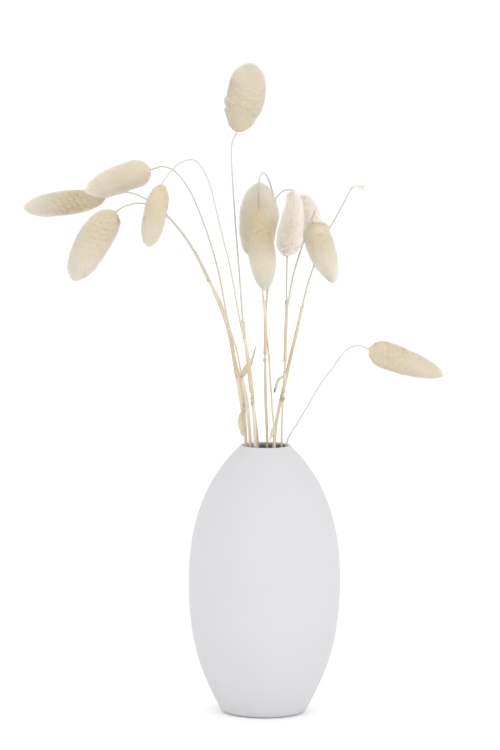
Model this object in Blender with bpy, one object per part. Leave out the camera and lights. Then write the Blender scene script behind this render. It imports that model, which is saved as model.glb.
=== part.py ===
"""Vase of dried bunny tail grass: an egg-shaped vase of matt white ceramic, twelve grass stems with their
leaf sheaths, joints and dried leaves, eleven furry seed heads, and on one stem the few spikelets left of a
twelfth.

Lengths are in millimetres, in the vase's own frame. The origin is the centre of its foot, +Z is up, and -Y
is the side that faces the viewer.
"""

import math
import random
from collections import namedtuple

import bmesh
import bpy
import numpy as np
from mathutils import Matrix, Vector
from mathutils.geometry import interpolate_bezier

MM = 0.001  # metres in a millimetre

# Vase
VASE_HEIGHT = 185.0
BELLY_RADIUS = 52.2
BELLY_HEIGHT = 90.0
MOUTH_RADIUS = 17.9
FOOT_RADIUS = 26.0
SHOULDER_SLOPE = 1.05  # how far the wall runs in for each millimetre up, just under the mouth
SKIRT_RADIUS = 32.4  # where the rounding of the foot ends
SKIRT_HEIGHT = 7.0
SKIRT_SLOPE = 0.5  # how far the wall runs in for each millimetre down, just above the rounding
BELLY_REACH_UP = 24.0  # lengths of the wall curves' handles
SHOULDER_REACH = 30.0
BELLY_REACH_DOWN = 46.0
SKIRT_REACH = 16.0
FOOT_REACH = 3.4
LIP_THICKNESS = 2.4
WALL = 3.2
WALL_FADE = 22.0  # distance below the lip over which the wall reaches its full thickness
FLOOR_THICKNESS = 4.5
VASE_SIDES = 40
WALL_STEPS = 8
ROUNDING_STEPS = 3

# Stems: radii from the foot to the seed head
CULM_RADIUS_LOW = 0.7
CULM_RADIUS_HIGH = 0.5
SHEATH_RADIUS = 1.15
LIP_RADIUS = 1.3  # the sheath's loose upper edge
JOINT_RADIUS = 1.5
JOINT_HALF_LENGTH = 1.6
STEM_STEP = 17.0  # length between the rings of a straight stretch
STEM_TURN = math.radians(16)  # turn between the rings of a bent stretch
FOOT_TWIST = math.radians(65)  # how far the feet stand round from the places in the mouth
FOOT_SPREAD = 1.45  # how far out they stand, as a share of the distance from the axis in the mouth
FOOT_CLEARANCE = 0.45  # a leaning stem's cut end, off the vase's floor

# Leaves
BLADE_THICKNESS = 0.6
BLADE_STEPS = 7
BLADE_FOLD = 0.35  # how far the midrib lies below the edges, as a share of the half width

# Spikelets left on the stem whose seed head is lost
REMNANT_LENGTH = 9.0
REMNANT_SPIKELETS = 8
REMNANT_SPIKELET = 3.6
REMNANT_RADIUS = 0.75
REMNANT_LEAN = math.radians(38)

# Seed heads
HEAD_SIDES = 10
HEAD_ROWS = 17
CORE_SHARE = 0.62  # the core's radius as a share of the radius that the spikelets reach
SPIKELET_LEAN = 0.062  # how far a spikelet's point lies towards the tip, as a share of the head's length
SHORTEST_POINT = 0.88  # a spikelet's reach as a share of the outline's: the least, and the most
LONGEST_POINT = 1.06
BASE_RADIUS = 1.45
SOCKET_RADIUS = 0.9
SOCKET_DEPTH = 3.4
PEG_LENGTH = 3.0  # how much of the stem is inside the head

CERAMIC_WHITE = (0.73, 0.73, 0.75)
STRAW = (0.56, 0.44, 0.24)
FUR_WARM = (0.68, 0.52, 0.34)
FUR_PALE = (0.76, 0.68, 0.55)

Sprig = namedtuple("Sprig", "name route sheaths head")
Head = namedtuple("Head", "tip width fullest blunt bow colour")
Leaf = namedtuple("Leaf", "stem route half_widths")

# Each route runs from the vase's mouth up to the base of the seed head. Its first point fixes the stem's
# foot. Sheaths are pairs of heights: the joint that a sheath grows from, and its loose upper edge. A sheath
# that starts inside the vase has no joint. A head is widest nearer its base where fullest is low, and its
# ends are blunter where blunt is high. Bow is how far its axis keeps to the stem's own direction.
SPRIGS = (
    Sprig(
        "far_left",
        ((-13.5, 3, 185), (-16.3, 4, 208.5), (-19.3, 4.5, 227), (-21.4, 5, 239.5), (-25.2, 6, 260),
         (-31.5, 9, 279.5), (-39.5, 12, 296.5), (-52, 16, 320), (-65, 18, 337), (-77, 18.5, 347.5),
         (-89, 18, 354.5), (-99.5, 16.5, 356.5), (-111, 15, 353)),
        ((None, 232), (232, 316)),
        Head((-167.2, 10, 345.5), 18.5, 1.0, 2.3, 1, FUR_WARM),
    ),
    Sprig(
        "upper_left",
        ((-10.3, -6, 185), (-12.9, -8, 216), (-15.6, -8.8, 228.5), (-18.3, -9.8, 241.5),
         (-20.3, -11, 251.5), (-25.9, -12.5, 269.5), (-33, -17, 305.5), (-41.5, -20, 334),
         (-52.5, -22, 360.5), (-62.5, -22, 373.5), (-71, -21, 377), (-79.5, -20, 374.5)),
        ((None, 234),),
        Head((-124, -22, 360), 21.5, 0.65, 2.3, 1, FUR_PALE),
    ),
    Sprig(
        "lower_left",
        ((-13.5, -2, 185), (-14.8, -3, 209.5), (-17.3, -3.5, 228), (-20.9, -4, 240.5), (-24.9, -6, 261),
         (-31.5, -11, 283), (-40.5, -20, 301.5), (-52, -30, 324), (-65, -38, 342), (-75.5, -43, 351),
         (-85.5, -46, 354), (-94.5, -47.5, 352.5), (-101.8, -48.5, 348)),
        ((None, 211), (211, 300)),
        Head((-130, -56, 302), 24.5, 0.9, 2.5, 3, FUR_WARM),
    ),
    Sprig(
        "small_left",
        ((-7, -10, 185), (-8, -13, 204.5), (-11, -20, 237.5), (-14, -25, 256.5), (-17.5, -29, 270.5),
         (-24.6, -39, 309), (-31.9, -47, 339), (-38.5, -54, 366.5), (-43, -57, 377), (-48, -60, 383.5),
         (-53, -62, 384.5), (-58.5, -63.5, 382.5), (-63.5, -64.5, 378.5), (-67, -65, 374),
         (-70.5, -65, 368)),
        ((None, 218), (218, 262)),
        Head((-79.6, -62, 325.5), 16.5, 0.95, 2.7, 0.5, FUR_WARM),
    ),
    Sprig(
        "top",
        ((-5.6, 4, 185), (-7.5, 5, 203.5), (-10.9, 8, 226), (-12.6, 10, 241.5), (-16, 14, 266),
         (-18.8, 20, 300), (-21, 25, 323.5), (-23.5, 30, 356), (-25, 34, 382.5), (-24.2, 35, 391),
         (-21.4, 35.5, 397.5)),
        ((None, 216), (216, 268)),
        Head((-11.5, 38, 445), 29, 1.05, 2.3, 1, FUR_PALE),
    ),
    Sprig(
        "centre_upper",
        ((1.1, 2, 185), (0.2, 2.5, 202), (-0.6, 3, 219), (-0.9, 3.6, 239.5), (-0.7, 4.4, 260),
         (-1, 5, 275), (-2, 5.4, 283), (-3.1, 6, 291.5), (-4.3, 6.6, 301.5), (-5.5, 7.5, 314)),
        ((243, 284),),
        Head((-5.4, 9, 365), 28.5, 0.85, 2.4, 1, FUR_WARM),
    ),
    Sprig(
        "centre_lower",
        ((6.2, -12, 185), (5.5, -10.5, 200), (4.4, -8.5, 210), (3.8, -5, 220), (2.8, -0.5, 230),
         (2.3, 4, 239.5), (1.4, 9, 249.5), (0, 13, 260.5), (-0.3, 15.5, 271), (0, 17.5, 280.5),
         (0.8, 19.5, 290.5), (2.2, 22.5, 308.5), (3.4, 24, 324), (4.5, 24, 341), (3, 19, 358.5),
         (0, 9, 367.5), (-3, 0, 372), (-5.5, -10, 369), (-6.2, -19, 360.5), (-6, -26, 348.5)),
        (),
        Head((-1, -30, 293.5), 20.5, 0.76, 2.3, 1, FUR_WARM),
    ),
    Sprig(
        "right_pale",
        ((11.1, 8, 185), (11.3, 10, 197.5), (11.6, 12.5, 209), (12.1, 15.5, 221), (12.9, 19, 234.5),
         (13.2, 23, 248), (13.3, 26, 258), (13.8, 30, 269.5), (13.9, 33, 279), (13.8, 37, 290),
         (14.2, 44, 310.5)),
        ((241, 281),),
        Head((20, 52, 356.5), 19.5, 0.6, 2.3, 1, FUR_PALE),
    ),
    Sprig(
        "right_back",
        ((1.1, 12.5, 185), (0.3, 20, 213.5), (-0.6, 33, 246.5), (-0.5, 44, 272), (0.6, 51, 288.5),
         (1.3, 62, 313.5), (3, 70, 335), (6, 76, 348), (11.5, 80, 353.5), (16.5, 82, 354),
         (21.5, 83, 350.5)),
        ((300, 325),),
        Head((35.5, 85, 311), 19.5, 0.76, 2.3, 1, FUR_PALE),
    ),
    Sprig(
        "right_front",
        ((11, -4, 185), (11.1, -4, 199.5), (11.4, -3, 211), (12, -1.2, 221.5), (12.7, 0.5, 231),
         (13.1, 2, 240), (13.3, 3.5, 250), (13.4, 4.5, 260.5), (13.5, 5.5, 272), (14.2, 6.3, 279),
         (15.3, 7.5, 285.5), (18, 10.3, 300.5), (23, 13, 317.5), (28, 12.5, 332.5), (31.5, 8, 342.5),
         (33, 1, 346), (32.5, -5, 343.5), (31.5, -8, 339)),
        ((217, 235),),
        Head((46, -11, 297.5), 20.5, 0.65, 2.3, 1, FUR_WARM),
    ),
    Sprig(
        "bare_tip",
        ((6, 10, 185), (6.8, 12.5, 195), (8.8, 15.5, 207), (11.2, 19, 217), (13.5, 22, 227),
         (15.7, 25, 237), (18.1, 28, 247.5), (22.9, 34, 267.5), (27.4, 40, 288), (33, 45, 305),
         (40, 51, 323.5), (48, 56, 337.5), (54.5, 60, 349.5), (58, 62, 356), (61, 63, 358.5),
         (66.5, 64.5, 357.5)),
        ((None, 214), (214, 277)),
        None,
    ),
    Sprig(
        "far_right",
        ((14.4, -2.6, 185), (23.1, -8, 203.5), (29.6, -12, 215.5), (36.9, -16, 229), (45.8, -19, 241.5),
         (52, -22, 251), (57.5, -24, 255.5), (63.5, -26, 257), (69.5, -27, 254.5)),
        (),
        Head((120.5, -30, 237.5), 19.5, 0.55, 2.3, 1, FUR_WARM),
    ),
)

# Dried leaf blades, from where each grows out of its stem to its tip
LEAVES = (
    Leaf(
        "upper_left",
        ((-16.1, -9, 233), (-13.6, -11.5, 238.5), (-11.1, -12.8, 243), (-9.1, -13.3, 247.5),
         (-7.9, -13.5, 251.5), (-7.3, -13.6, 254.5)),
        (0.8, 2.1, 2.3, 1.1, 0.5, 0.4),
    ),
    Leaf(
        "lower_left",
        ((-15.7, -3.1, 209.5), (-17, -5.5, 203.5), (-17.3, -5.7, 198), (-15.3, -5.2, 191)),
        (0.9, 1.6, 1.9, 1.8, 1.3, 0.7),
    ),
    Leaf(
        "right_front",
        ((12.6, -0.1, 233), (9, -3, 231), (6.8, -6, 226.5), (5.4, -8, 221.5)),
        (0.6, 1, 1.2, 1.2, 0.9, 0.5),
    ),
    Leaf(
        "centre_lower",
        ((5.5, -10.5, 199), (4.9, -12.2, 196), (3.6, -13.2, 192.5), (2.2, -13.6, 189)),
        (0.6, 1.1, 1.3, 1.2, 0.9, 0.5),
    ),
)


def clear_scene():
    for obj in list(bpy.data.objects):
        bpy.data.objects.remove(obj)


def material(name, colour, roughness):
    made = bpy.data.materials.new(name)
    made.use_nodes = True
    shader = made.node_tree.nodes["Principled BSDF"]
    shader.inputs["Base Color"].default_value = (*colour, 1.0)
    shader.inputs["Roughness"].default_value = roughness
    shader.inputs["Metallic"].default_value = 0.0
    return made


def add_object(name, mesh, colour, roughness):
    mesh.materials.clear()
    mesh.materials.append(material(name, colour, roughness))
    obj = bpy.data.objects.new(name, mesh)
    bpy.context.scene.collection.objects.link(obj)
    return obj


def mesh_from(name, points, faces):
    """A closed mesh with its faces turned outwards, from points in millimetres."""
    mesh = bpy.data.meshes.new(name)
    mesh.from_pydata([tuple(c * MM for c in point) for point in points], [], faces)
    bm = bmesh.new()
    bm.from_mesh(mesh)
    bmesh.ops.recalc_face_normals(bm, faces=bm.faces)
    bm.to_mesh(mesh)
    bm.free()
    return mesh


def smooth_curve(points, per_span=14):
    """Points in millimetres on a smooth curve through the given ones, as a numpy array."""
    points = [Vector(point) for point in points]
    last = len(points) - 1
    fine = [points[0]]
    for i in range(last):
        start, end = points[i], points[i + 1]
        reach = (end - start).length / 3
        leave = (end - points[max(i - 1, 0)]).normalized() * reach
        arrive = (points[min(i + 2, last)] - start).normalized() * reach
        fine += interpolate_bezier(start, start + leave, end - arrive, end, per_span + 1)[1:]
    return np.array(fine)


class Line:
    """A finely sampled curve that can be read at any distance from its start."""

    def __init__(self, points):
        self.points = points
        steps = np.linalg.norm(np.diff(points, axis=0), axis=1)
        self.lengths = np.concatenate([[0.0], np.cumsum(steps)])
        self.length = self.lengths[-1]

    def at(self, distance):
        return np.array([np.interp(distance, self.lengths, self.points[:, axis]) for axis in range(3)])

    def direction(self, distance):
        reach = 0.4
        ahead = self.at(min(distance + reach, self.length))
        behind = self.at(max(distance - reach, 0.0))
        return (ahead - behind) / np.linalg.norm(ahead - behind)

    def distance_at_height(self, height):
        first = int(np.argmax(self.points[:, 2] >= height))
        low, high = self.points[first - 1, 2], self.points[first, 2]
        share = (height - low) / (high - low)
        return self.lengths[first - 1] + share * (self.lengths[first] - self.lengths[first - 1])


def bezier_2d(start, handle_a, handle_b, end, steps):
    """Points of a flat cubic curve, without its last point."""
    corners = [Vector((*corner, 0)) for corner in (start, handle_a, handle_b, end)]
    return [(p.x, p.y) for p in interpolate_bezier(*corners, steps + 1)][:-1]


def outer_wall(steps):
    """The outer wall from the foot's edge to the mouth, as (radius, height), in three curves."""
    foot = (FOOT_RADIUS, 0.0)
    beside_foot = (FOOT_RADIUS + FOOT_REACH, 0.0)
    skirt = (SKIRT_RADIUS, SKIRT_HEIGHT)
    below_skirt = (SKIRT_RADIUS - FOOT_REACH * SKIRT_SLOPE, SKIRT_HEIGHT - FOOT_REACH)
    above_skirt = (SKIRT_RADIUS + SKIRT_REACH * SKIRT_SLOPE, SKIRT_HEIGHT + SKIRT_REACH)
    belly = (BELLY_RADIUS, BELLY_HEIGHT)
    below_belly = (BELLY_RADIUS, BELLY_HEIGHT - BELLY_REACH_DOWN)
    above_belly = (BELLY_RADIUS, BELLY_HEIGHT + BELLY_REACH_UP)
    mouth = (MOUTH_RADIUS, VASE_HEIGHT - LIP_THICKNESS / 2)
    below_mouth = (mouth[0] + SHOULDER_REACH * SHOULDER_SLOPE, mouth[1] - SHOULDER_REACH)
    rounding = bezier_2d(foot, beside_foot, below_skirt, skirt, ROUNDING_STEPS)
    lower = bezier_2d(skirt, above_skirt, below_belly, belly, steps)
    upper = bezier_2d(belly, above_belly, below_mouth, mouth, steps)
    return rounding + lower + upper + [mouth]


def wall_thickness(height):
    """Thin at the lip, full a little way below it."""
    share = min(max((VASE_HEIGHT - height) / WALL_FADE, 0.0), 1.0)
    return LIP_THICKNESS + (WALL - LIP_THICKNESS) * share


def vase_profile():
    """The half section, from the foot's centre round the wall and lip to the inner floor's centre."""
    outer = outer_wall(WALL_STEPS)
    lip_steps = 3
    lip_radius = LIP_THICKNESS / 2
    lip_centre = (MOUTH_RADIUS - lip_radius, VASE_HEIGHT - lip_radius)
    lip = []
    for i in range(1, lip_steps):
        angle = math.pi * i / lip_steps
        across, up = lip_radius * math.cos(angle), lip_radius * math.sin(angle)
        lip.append((lip_centre[0] + across, lip_centre[1] + up))
    inner = []
    for radius, height in reversed(outer):
        if height > FLOOR_THICKNESS + WALL:
            inner.append((radius - wall_thickness(height), height))
    corner = inner[-1][0]
    floor = [(corner - 2 * WALL, FLOOR_THICKNESS), (0.0, FLOOR_THICKNESS)]
    return [(0.0, 0.0)] + outer + lip + inner + floor


def make_vase():
    bm = bmesh.new()
    verts = [bm.verts.new((radius * MM, 0.0, height * MM)) for radius, height in vase_profile()]
    edges = [bm.edges.new(pair) for pair in zip(verts, verts[1:])]
    bmesh.ops.spin(
        bm, geom=verts + edges, cent=(0, 0, 0), axis=(0, 0, 1), angle=2 * math.pi, steps=VASE_SIDES,
        use_merge=True,
    )
    bmesh.ops.remove_doubles(bm, verts=bm.verts, dist=1e-6)
    bmesh.ops.recalc_face_normals(bm, faces=bm.faces)
    mesh = bpy.data.meshes.new("vase")
    bm.to_mesh(mesh)
    bm.free()
    mesh.shade_smooth()
    mesh.set_sharp_from_angle(angle=math.radians(40))
    return add_object("vase", mesh, CERAMIC_WHITE, 0.75)


def foot_of(mouth):
    """Where a stem stands on the vase's floor. One turn and spread for all keeps stems from crossing."""
    x, y = mouth[0] * FOOT_SPREAD, mouth[1] * FOOT_SPREAD
    turned = (
        x * math.cos(FOOT_TWIST) - y * math.sin(FOOT_TWIST),
        x * math.sin(FOOT_TWIST) + y * math.cos(FOOT_TWIST),
    )
    return (*turned, FLOOR_THICKNESS + FOOT_CLEARANCE)


def stem_line(sprig):
    """The stem's centre line, from its foot to the end of the peg inside the seed head."""
    mouth, base = Vector(sprig.route[0]), Vector(sprig.route[-1])
    foot = Vector(foot_of(mouth))
    last = (base,)
    if sprig.head:
        way_in = head_direction(sprig)
        last = (base - way_in * 2.0, base, base + way_in * PEG_LENGTH)
    return Line(smooth_curve([foot, foot.lerp(mouth, 0.5), *sprig.route[:-1], *last]))


def head_direction(sprig):
    """The way in which the stem enters the seed head: mostly that to the tip, a little its own."""
    before, base, tip = (Vector(point) for point in (sprig.route[-2], sprig.route[-1], sprig.head.tip))
    return (sprig.head.bow * (base - before).normalized() + 3 * (tip - base).normalized()).normalized()


def stem_radii(sprig, line):
    """Distances along the stem and the radius at each: bare culm, and sheaths with a joint and a lip."""
    distances, radii = [0.0], [CULM_RADIUS_LOW]
    for i, (joint, top) in enumerate(sprig.sheaths):
        if joint is None:
            radii[0] = SHEATH_RADIUS
        else:
            meets_lower = i > 0 and sprig.sheaths[i - 1][1] == joint
            middle = line.distance_at_height(joint)
            distances += [middle - JOINT_HALF_LENGTH, middle, middle + JOINT_HALF_LENGTH]
            radii += [SHEATH_RADIUS if meets_lower else CULM_RADIUS_LOW, JOINT_RADIUS, SHEATH_RADIUS]
        meets_upper = i + 1 < len(sprig.sheaths) and sprig.sheaths[i + 1][0] == top
        if not meets_upper:
            lip = line.distance_at_height(top)
            distances += [lip - 3.0, lip, lip + 0.6]
            radii += [SHEATH_RADIUS, LIP_RADIUS, CULM_RADIUS_LOW]
    return distances + [line.length], radii + [CULM_RADIUS_HIGH]


def ring_distances(line, fixed):
    """Where the tube's rings go: at the fixed distances, and by length and turn between them."""
    found = list(fixed)
    spent, distance, step = 0.0, 0.0, 1.0
    before = line.direction(0.0)
    clear = 0.45 * STEM_STEP
    while distance < line.length - step:
        distance += step
        now = line.direction(distance)
        turn = math.acos(min(1.0, float(before @ now)))
        spent += step / STEM_STEP + turn / STEM_TURN
        before = now
        if min(abs(distance - other) for other in fixed) < (clear if turn < 0.02 else 1.5):
            continue
        if spent >= 1.0:
            found.append(distance)
            spent = 0.0
    return sorted(found)


def tube_mesh(name, line, distances, radii):
    """A six-sided closed tube along the line, from a curve with a radius at each of its points."""
    curve = bpy.data.curves.new(name, "CURVE")
    curve.dimensions = "3D"
    curve.bevel_depth = MM
    curve.bevel_resolution = 1
    curve.use_fill_caps = True
    rings = ring_distances(line, distances)
    spline = curve.splines.new("POLY")
    spline.points.add(len(rings) - 1)
    for point, distance in zip(spline.points, rings):
        point.co = (*(line.at(distance) * MM), 1.0)
        point.radius = float(np.interp(distance, distances, radii))
    obj = bpy.data.objects.new(name, curve)
    bpy.context.scene.collection.objects.link(obj)
    bpy.context.view_layer.update()
    mesh = bpy.data.meshes.new_from_object(obj.evaluated_get(bpy.context.evaluated_depsgraph_get()))
    bpy.data.objects.remove(obj)
    bm = bmesh.new()
    bm.from_mesh(mesh)
    bmesh.ops.remove_doubles(bm, verts=bm.verts, dist=1e-6)
    bmesh.ops.recalc_face_normals(bm, faces=bm.faces)
    bm.to_mesh(mesh)
    bm.free()
    return mesh


def blade_mesh(leaf):
    """A dried leaf blade: a narrow solid ribbon, folded along its midrib, that tapers to its tip."""
    line = Line(smooth_curve(leaf.route))
    points, faces = [], []
    across = Vector((1, 0, 0))
    for i in range(BLADE_STEPS + 1):
        share = i / BLADE_STEPS
        centre = Vector(line.at(share * line.length))
        along = Vector(line.direction(share * line.length))
        side = (across - across.dot(along) * along).normalized()
        out = side.cross(along)
        half = np.interp(share, np.linspace(0.0, 1.0, len(leaf.half_widths)), leaf.half_widths)
        fold = BLADE_FOLD * half
        rise = out * (BLADE_THICKNESS / 2)
        rows = (centre - side * half + out * fold, centre, centre + side * half + out * fold)
        points += [point + rise for point in rows] + [point - rise for point in rows]
    for i in range(BLADE_STEPS):
        low, high = 6 * i, 6 * (i + 1)
        for a, b in ((0, 1), (1, 2), (2, 5), (5, 4), (4, 3), (3, 0)):
            faces += [(low + a, low + b, high + b), (low + a, high + b, high + a)]
    last = 6 * BLADE_STEPS
    for end in (0, last):
        faces += [(end, end + 1, end + 4, end + 3), (end + 1, end + 2, end + 5, end + 4)]
    return mesh_from(leaf.stem + "_blade", points, faces)


def remnant_meshes(line):
    """The few spikelets left of a lost seed head: slim cones that lean forward, in a spiral."""
    golden = math.radians(137.5)
    meshes = []
    for i in range(REMNANT_SPIKELETS):
        distance = line.length - REMNANT_LENGTH * (1 - i / REMNANT_SPIKELETS)
        centre, side, up = ring_frame(line, distance)
        out = math.cos(golden * i) * side + math.sin(golden * i) * up
        way = math.cos(REMNANT_LEAN) * Vector(line.direction(distance)) + math.sin(REMNANT_LEAN) * out
        bm = bmesh.new()
        bmesh.ops.create_cone(
            bm, cap_ends=True, cap_tris=True, segments=5, radius1=REMNANT_RADIUS * MM, radius2=0.12 * MM,
            depth=REMNANT_SPIKELET * MM,
        )
        turn = way.to_track_quat("Z", "Y").to_matrix().to_4x4()
        place = Matrix.Translation((centre + way * REMNANT_SPIKELET / 2) * MM)
        bmesh.ops.transform(bm, matrix=place @ turn, verts=bm.verts)
        mesh = bpy.data.meshes.new("spikelet")
        bm.to_mesh(mesh)
        bm.free()
        meshes.append(mesh)
    return meshes


def fuse(stem, meshes):
    """Joins closed meshes to their stem by one union, and removes their own objects."""
    group = bpy.data.collections.new(stem.name + "_growth")
    bpy.context.scene.collection.children.link(group)
    for mesh in meshes:
        group.objects.link(bpy.data.objects.new(mesh.name, mesh))
    union = stem.modifiers.new("growth", "BOOLEAN")
    union.operation = "UNION"
    union.operand_type = "COLLECTION"
    union.solver = "EXACT"
    union.collection = group
    bpy.context.view_layer.update()
    joined = bpy.data.meshes.new_from_object(stem.evaluated_get(bpy.context.evaluated_depsgraph_get()))
    stem.modifiers.clear()
    stem.data = joined
    for obj in list(group.objects):
        bpy.data.objects.remove(obj)
    bpy.data.collections.remove(group)


def make_stem(sprig):
    line = stem_line(sprig)
    distances, radii = stem_radii(sprig, line)
    name = "stem_" + sprig.name
    stem = add_object(name, tube_mesh(name, line, distances, radii), STRAW, 0.7)
    growth = [blade_mesh(leaf) for leaf in LEAVES if leaf.stem == sprig.name]
    if not sprig.head:
        growth += remnant_meshes(line)
    if growth:
        fuse(stem, growth)


def head_axis(sprig):
    """The head's gently bent axis: it leaves the way that the stem comes in, and ends at the tip."""
    base, tip = Vector(sprig.route[-1]), Vector(sprig.head.tip)
    bend = base + head_direction(sprig) * (tip - base).length * 0.4
    fine = interpolate_bezier(base, base.lerp(bend, 2 / 3), tip.lerp(bend, 2 / 3), tip, 25)
    return Line(np.array(fine))


def outline(head, share):
    """The radius that the spikelets reach, as a share of the widest, from the base (0) to the tip (1)."""
    share = min(max(share, 0.0), 1.0)
    return max(1.0 - abs(2.0 * share**head.fullest - 1.0) ** head.blunt, 0.0) ** 0.5


def ring_frame(line, distance):
    along = Vector(line.direction(distance))
    side = along.cross(Vector((0, 1, 0))).normalized()
    return Vector(line.at(distance)), side, side.cross(along)


def ring(line, distance, radius, turn, sides):
    centre, side, up = ring_frame(line, distance)
    angles = [2 * math.pi * (i + turn) / sides for i in range(sides)]
    return [centre + radius * (math.cos(a) * side + math.sin(a) * up) for a in angles]


def fan(centre, first, sides):
    return [(centre, first + i, first + (i + 1) % sides) for i in range(sides)]


def make_head(sprig):
    """A core whose whole surface is raised into pointed spikelets that lean towards the tip."""
    sides, rows = HEAD_SIDES, HEAD_ROWS
    draw = random.Random("spikelets " + sprig.name)
    line = head_axis(sprig)
    head = sprig.head
    length, reach = line.length, head.width / 2
    points, faces = [line.at(SOCKET_DEPTH)], []
    for distance in (SOCKET_DEPTH, 0.0):
        points += ring(line, distance, SOCKET_RADIUS, 0.0, sides)
    faces += fan(0, 1, sides)
    for i in range(sides):
        after = (i + 1) % sides
        faces.append((1 + i, 1 + after, 1 + sides + after, 1 + sides + i))
    first_row = len(points)
    core_end = 0.93
    for row in range(rows + 1):
        share = core_end * row / rows
        radius = max(CORE_SHARE * reach * outline(head, share), BASE_RADIUS if row == 0 else 0.35)
        points += ring(line, share * length, radius, 0.5 * (row % 2), sides)
    mouth = 1 + sides
    for i in range(sides):
        after = (i + 1) % sides
        faces.append((mouth + i, mouth + after, first_row + after, first_row + i))

    def corner(row, place):
        return first_row + row * sides + place % sides

    for i in range(sides):
        faces.append((corner(0, i), corner(0, i + 1), corner(1, i)))
    for row in range(1, rows):
        shift = row % 2
        share = core_end * row / rows
        lean = SPIKELET_LEAN * min(1.0, 3.0 * share)
        for i in range(sides):
            left, right = corner(row, i), corner(row, i + 1)
            below, above = corner(row - 1, i + shift), corner(row + 1, i + shift)
            radius = reach * max(outline(head, share + lean), 0.12)
            radius *= draw.uniform(SHORTEST_POINT, LONGEST_POINT)
            centre, side, up = ring_frame(line, min(share + lean, 1.0) * length)
            angle = 2 * math.pi * (i + 0.5 + 0.5 * shift) / sides
            apex = len(points)
            points.append(centre + radius * (math.cos(angle) * side + math.sin(angle) * up))
            faces += [(below, right, apex), (right, above, apex), (above, left, apex), (left, below, apex)]
    tip = len(points)
    points.append(line.at(length))
    shift = rows % 2
    for i in range(sides):
        a, b = corner(rows, i), corner(rows, i + 1)
        faces += [(a, b, tip), (a, corner(rows - 1, i + shift), b)]
    name = "head_" + sprig.name
    add_object(name, mesh_from(name, points, faces), head.colour, 0.9)


def main():
    clear_scene()
    make_vase()
    for sprig in SPRIGS:
        make_stem(sprig)
        if sprig.head:
            make_head(sprig)


main()
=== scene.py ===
"""Vase of dried bunny tail grass: an egg-shaped vase of matt ceramic, grass stems and furry seed heads.

Laid out as an add-on and run as a script. Lengths in the tables are in millimetres, in the frame of the model:
the origin is the centre of the vase's foot, +Z is up, and -Y is the side that faces the viewer.
"""

import math
from collections import namedtuple

import bpy
import numpy as np
from bpy.props import FloatProperty, FloatVectorProperty, IntProperty, PointerProperty
from mathutils import Euler, Matrix, Vector
from mathutils.geometry import interpolate_bezier


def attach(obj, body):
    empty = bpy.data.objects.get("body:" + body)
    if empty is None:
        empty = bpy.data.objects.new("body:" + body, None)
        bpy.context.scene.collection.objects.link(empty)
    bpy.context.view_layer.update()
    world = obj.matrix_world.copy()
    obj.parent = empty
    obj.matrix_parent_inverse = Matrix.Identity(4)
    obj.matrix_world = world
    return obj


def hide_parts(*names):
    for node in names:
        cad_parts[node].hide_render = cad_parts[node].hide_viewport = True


bl_info = {
    "name": "Vase of Dried Bunny Tail Grass",
    "version": (1, 0, 0),
    "blender": (4, 5, 0),
    "location": "3D View > Sidebar > Dried Grass",
    "description": "Builds a matt ceramic vase with arching grass stems and furry seed heads",
    "category": "Object",
}

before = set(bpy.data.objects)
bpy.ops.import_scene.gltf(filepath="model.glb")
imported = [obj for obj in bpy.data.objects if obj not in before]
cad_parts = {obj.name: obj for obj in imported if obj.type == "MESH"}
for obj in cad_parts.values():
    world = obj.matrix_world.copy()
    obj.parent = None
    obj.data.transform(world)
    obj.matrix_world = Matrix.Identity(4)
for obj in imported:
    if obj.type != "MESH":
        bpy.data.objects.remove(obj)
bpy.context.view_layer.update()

MM = 0.001  # metres in a millimetre

# Camera: where the photograph was taken from, worked out from the vase's mouth and foot
CAMERA_PLACE = (-0.011, -3.0, 0.590)
CAMERA_PITCH = math.radians(6.785)
CAMERA_ROLL = math.radians(0.45)
CAMERA_LENS = 211.97  # for a 36 mm sensor along the picture's long side
CAMERA_RANGE = 200.0  # far enough to see the whole floor to its horizon

# Vase profile, as radii and heights, and the reach of the handles of its curves
MOUTH_RADIUS = 17.9
FOOT_RADIUS = 26.0
SHOULDER_SLOPE = 1.05
SKIRT_RADIUS = 32.4
SKIRT_HEIGHT = 7.0
SKIRT_SLOPE = 0.5
BELLY_REACH_UP = 24.0
SHOULDER_REACH = 30.0
BELLY_REACH_DOWN = 46.0
SKIRT_REACH = 16.0
FOOT_REACH = 3.4
LIP_THICKNESS = 2.4
WALL = 3.2
WALL_FADE = 22.0
FLOOR_THICKNESS = 4.5
FOOT_RING = 3.0
ROUNDING_STEPS = 8
WALL_STEPS = 36
LIP_STEPS = 8

# Stems: how they stand inside the vase, and how they end straight in the seed head
FOOT_TWIST = math.radians(65)
FOOT_SPREAD = 1.45
FOOT_CLEARANCE = 0.45
NECK_STRAIGHT = 2.0
PEG_LENGTH = 3.0

# Leaf sheaths: how far above its joint one starts, where one starts that has no joint, and how far one ends
# below a joint
SHEATH_FOOT = 0.9
HIDDEN_SHEATH_FOOT = 12.0
SHEATH_GAP = 1.6

# Withering and bleaching of the culms
USUAL_JOINT_AGE = 0.15
JOINT_AGE = {"right_front": 0.6}
JOINT_AGE_REACH = 1.7
NECK_AGE = {"centre_lower": 0.6}
NECK_LENGTH = 26.0
NECK_FADE = 12.0
# from which share of the length upward the sun has bleached a culm, and how strongly
BLEACHED_CULMS = {
    "far_right": (0.6, 0.9), "top": (0.65, 0.5), "small_left": (0.65, 0.5), "right_front": (0.9, 0.9)
}
BLEACHING_FADE = 0.05

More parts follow.
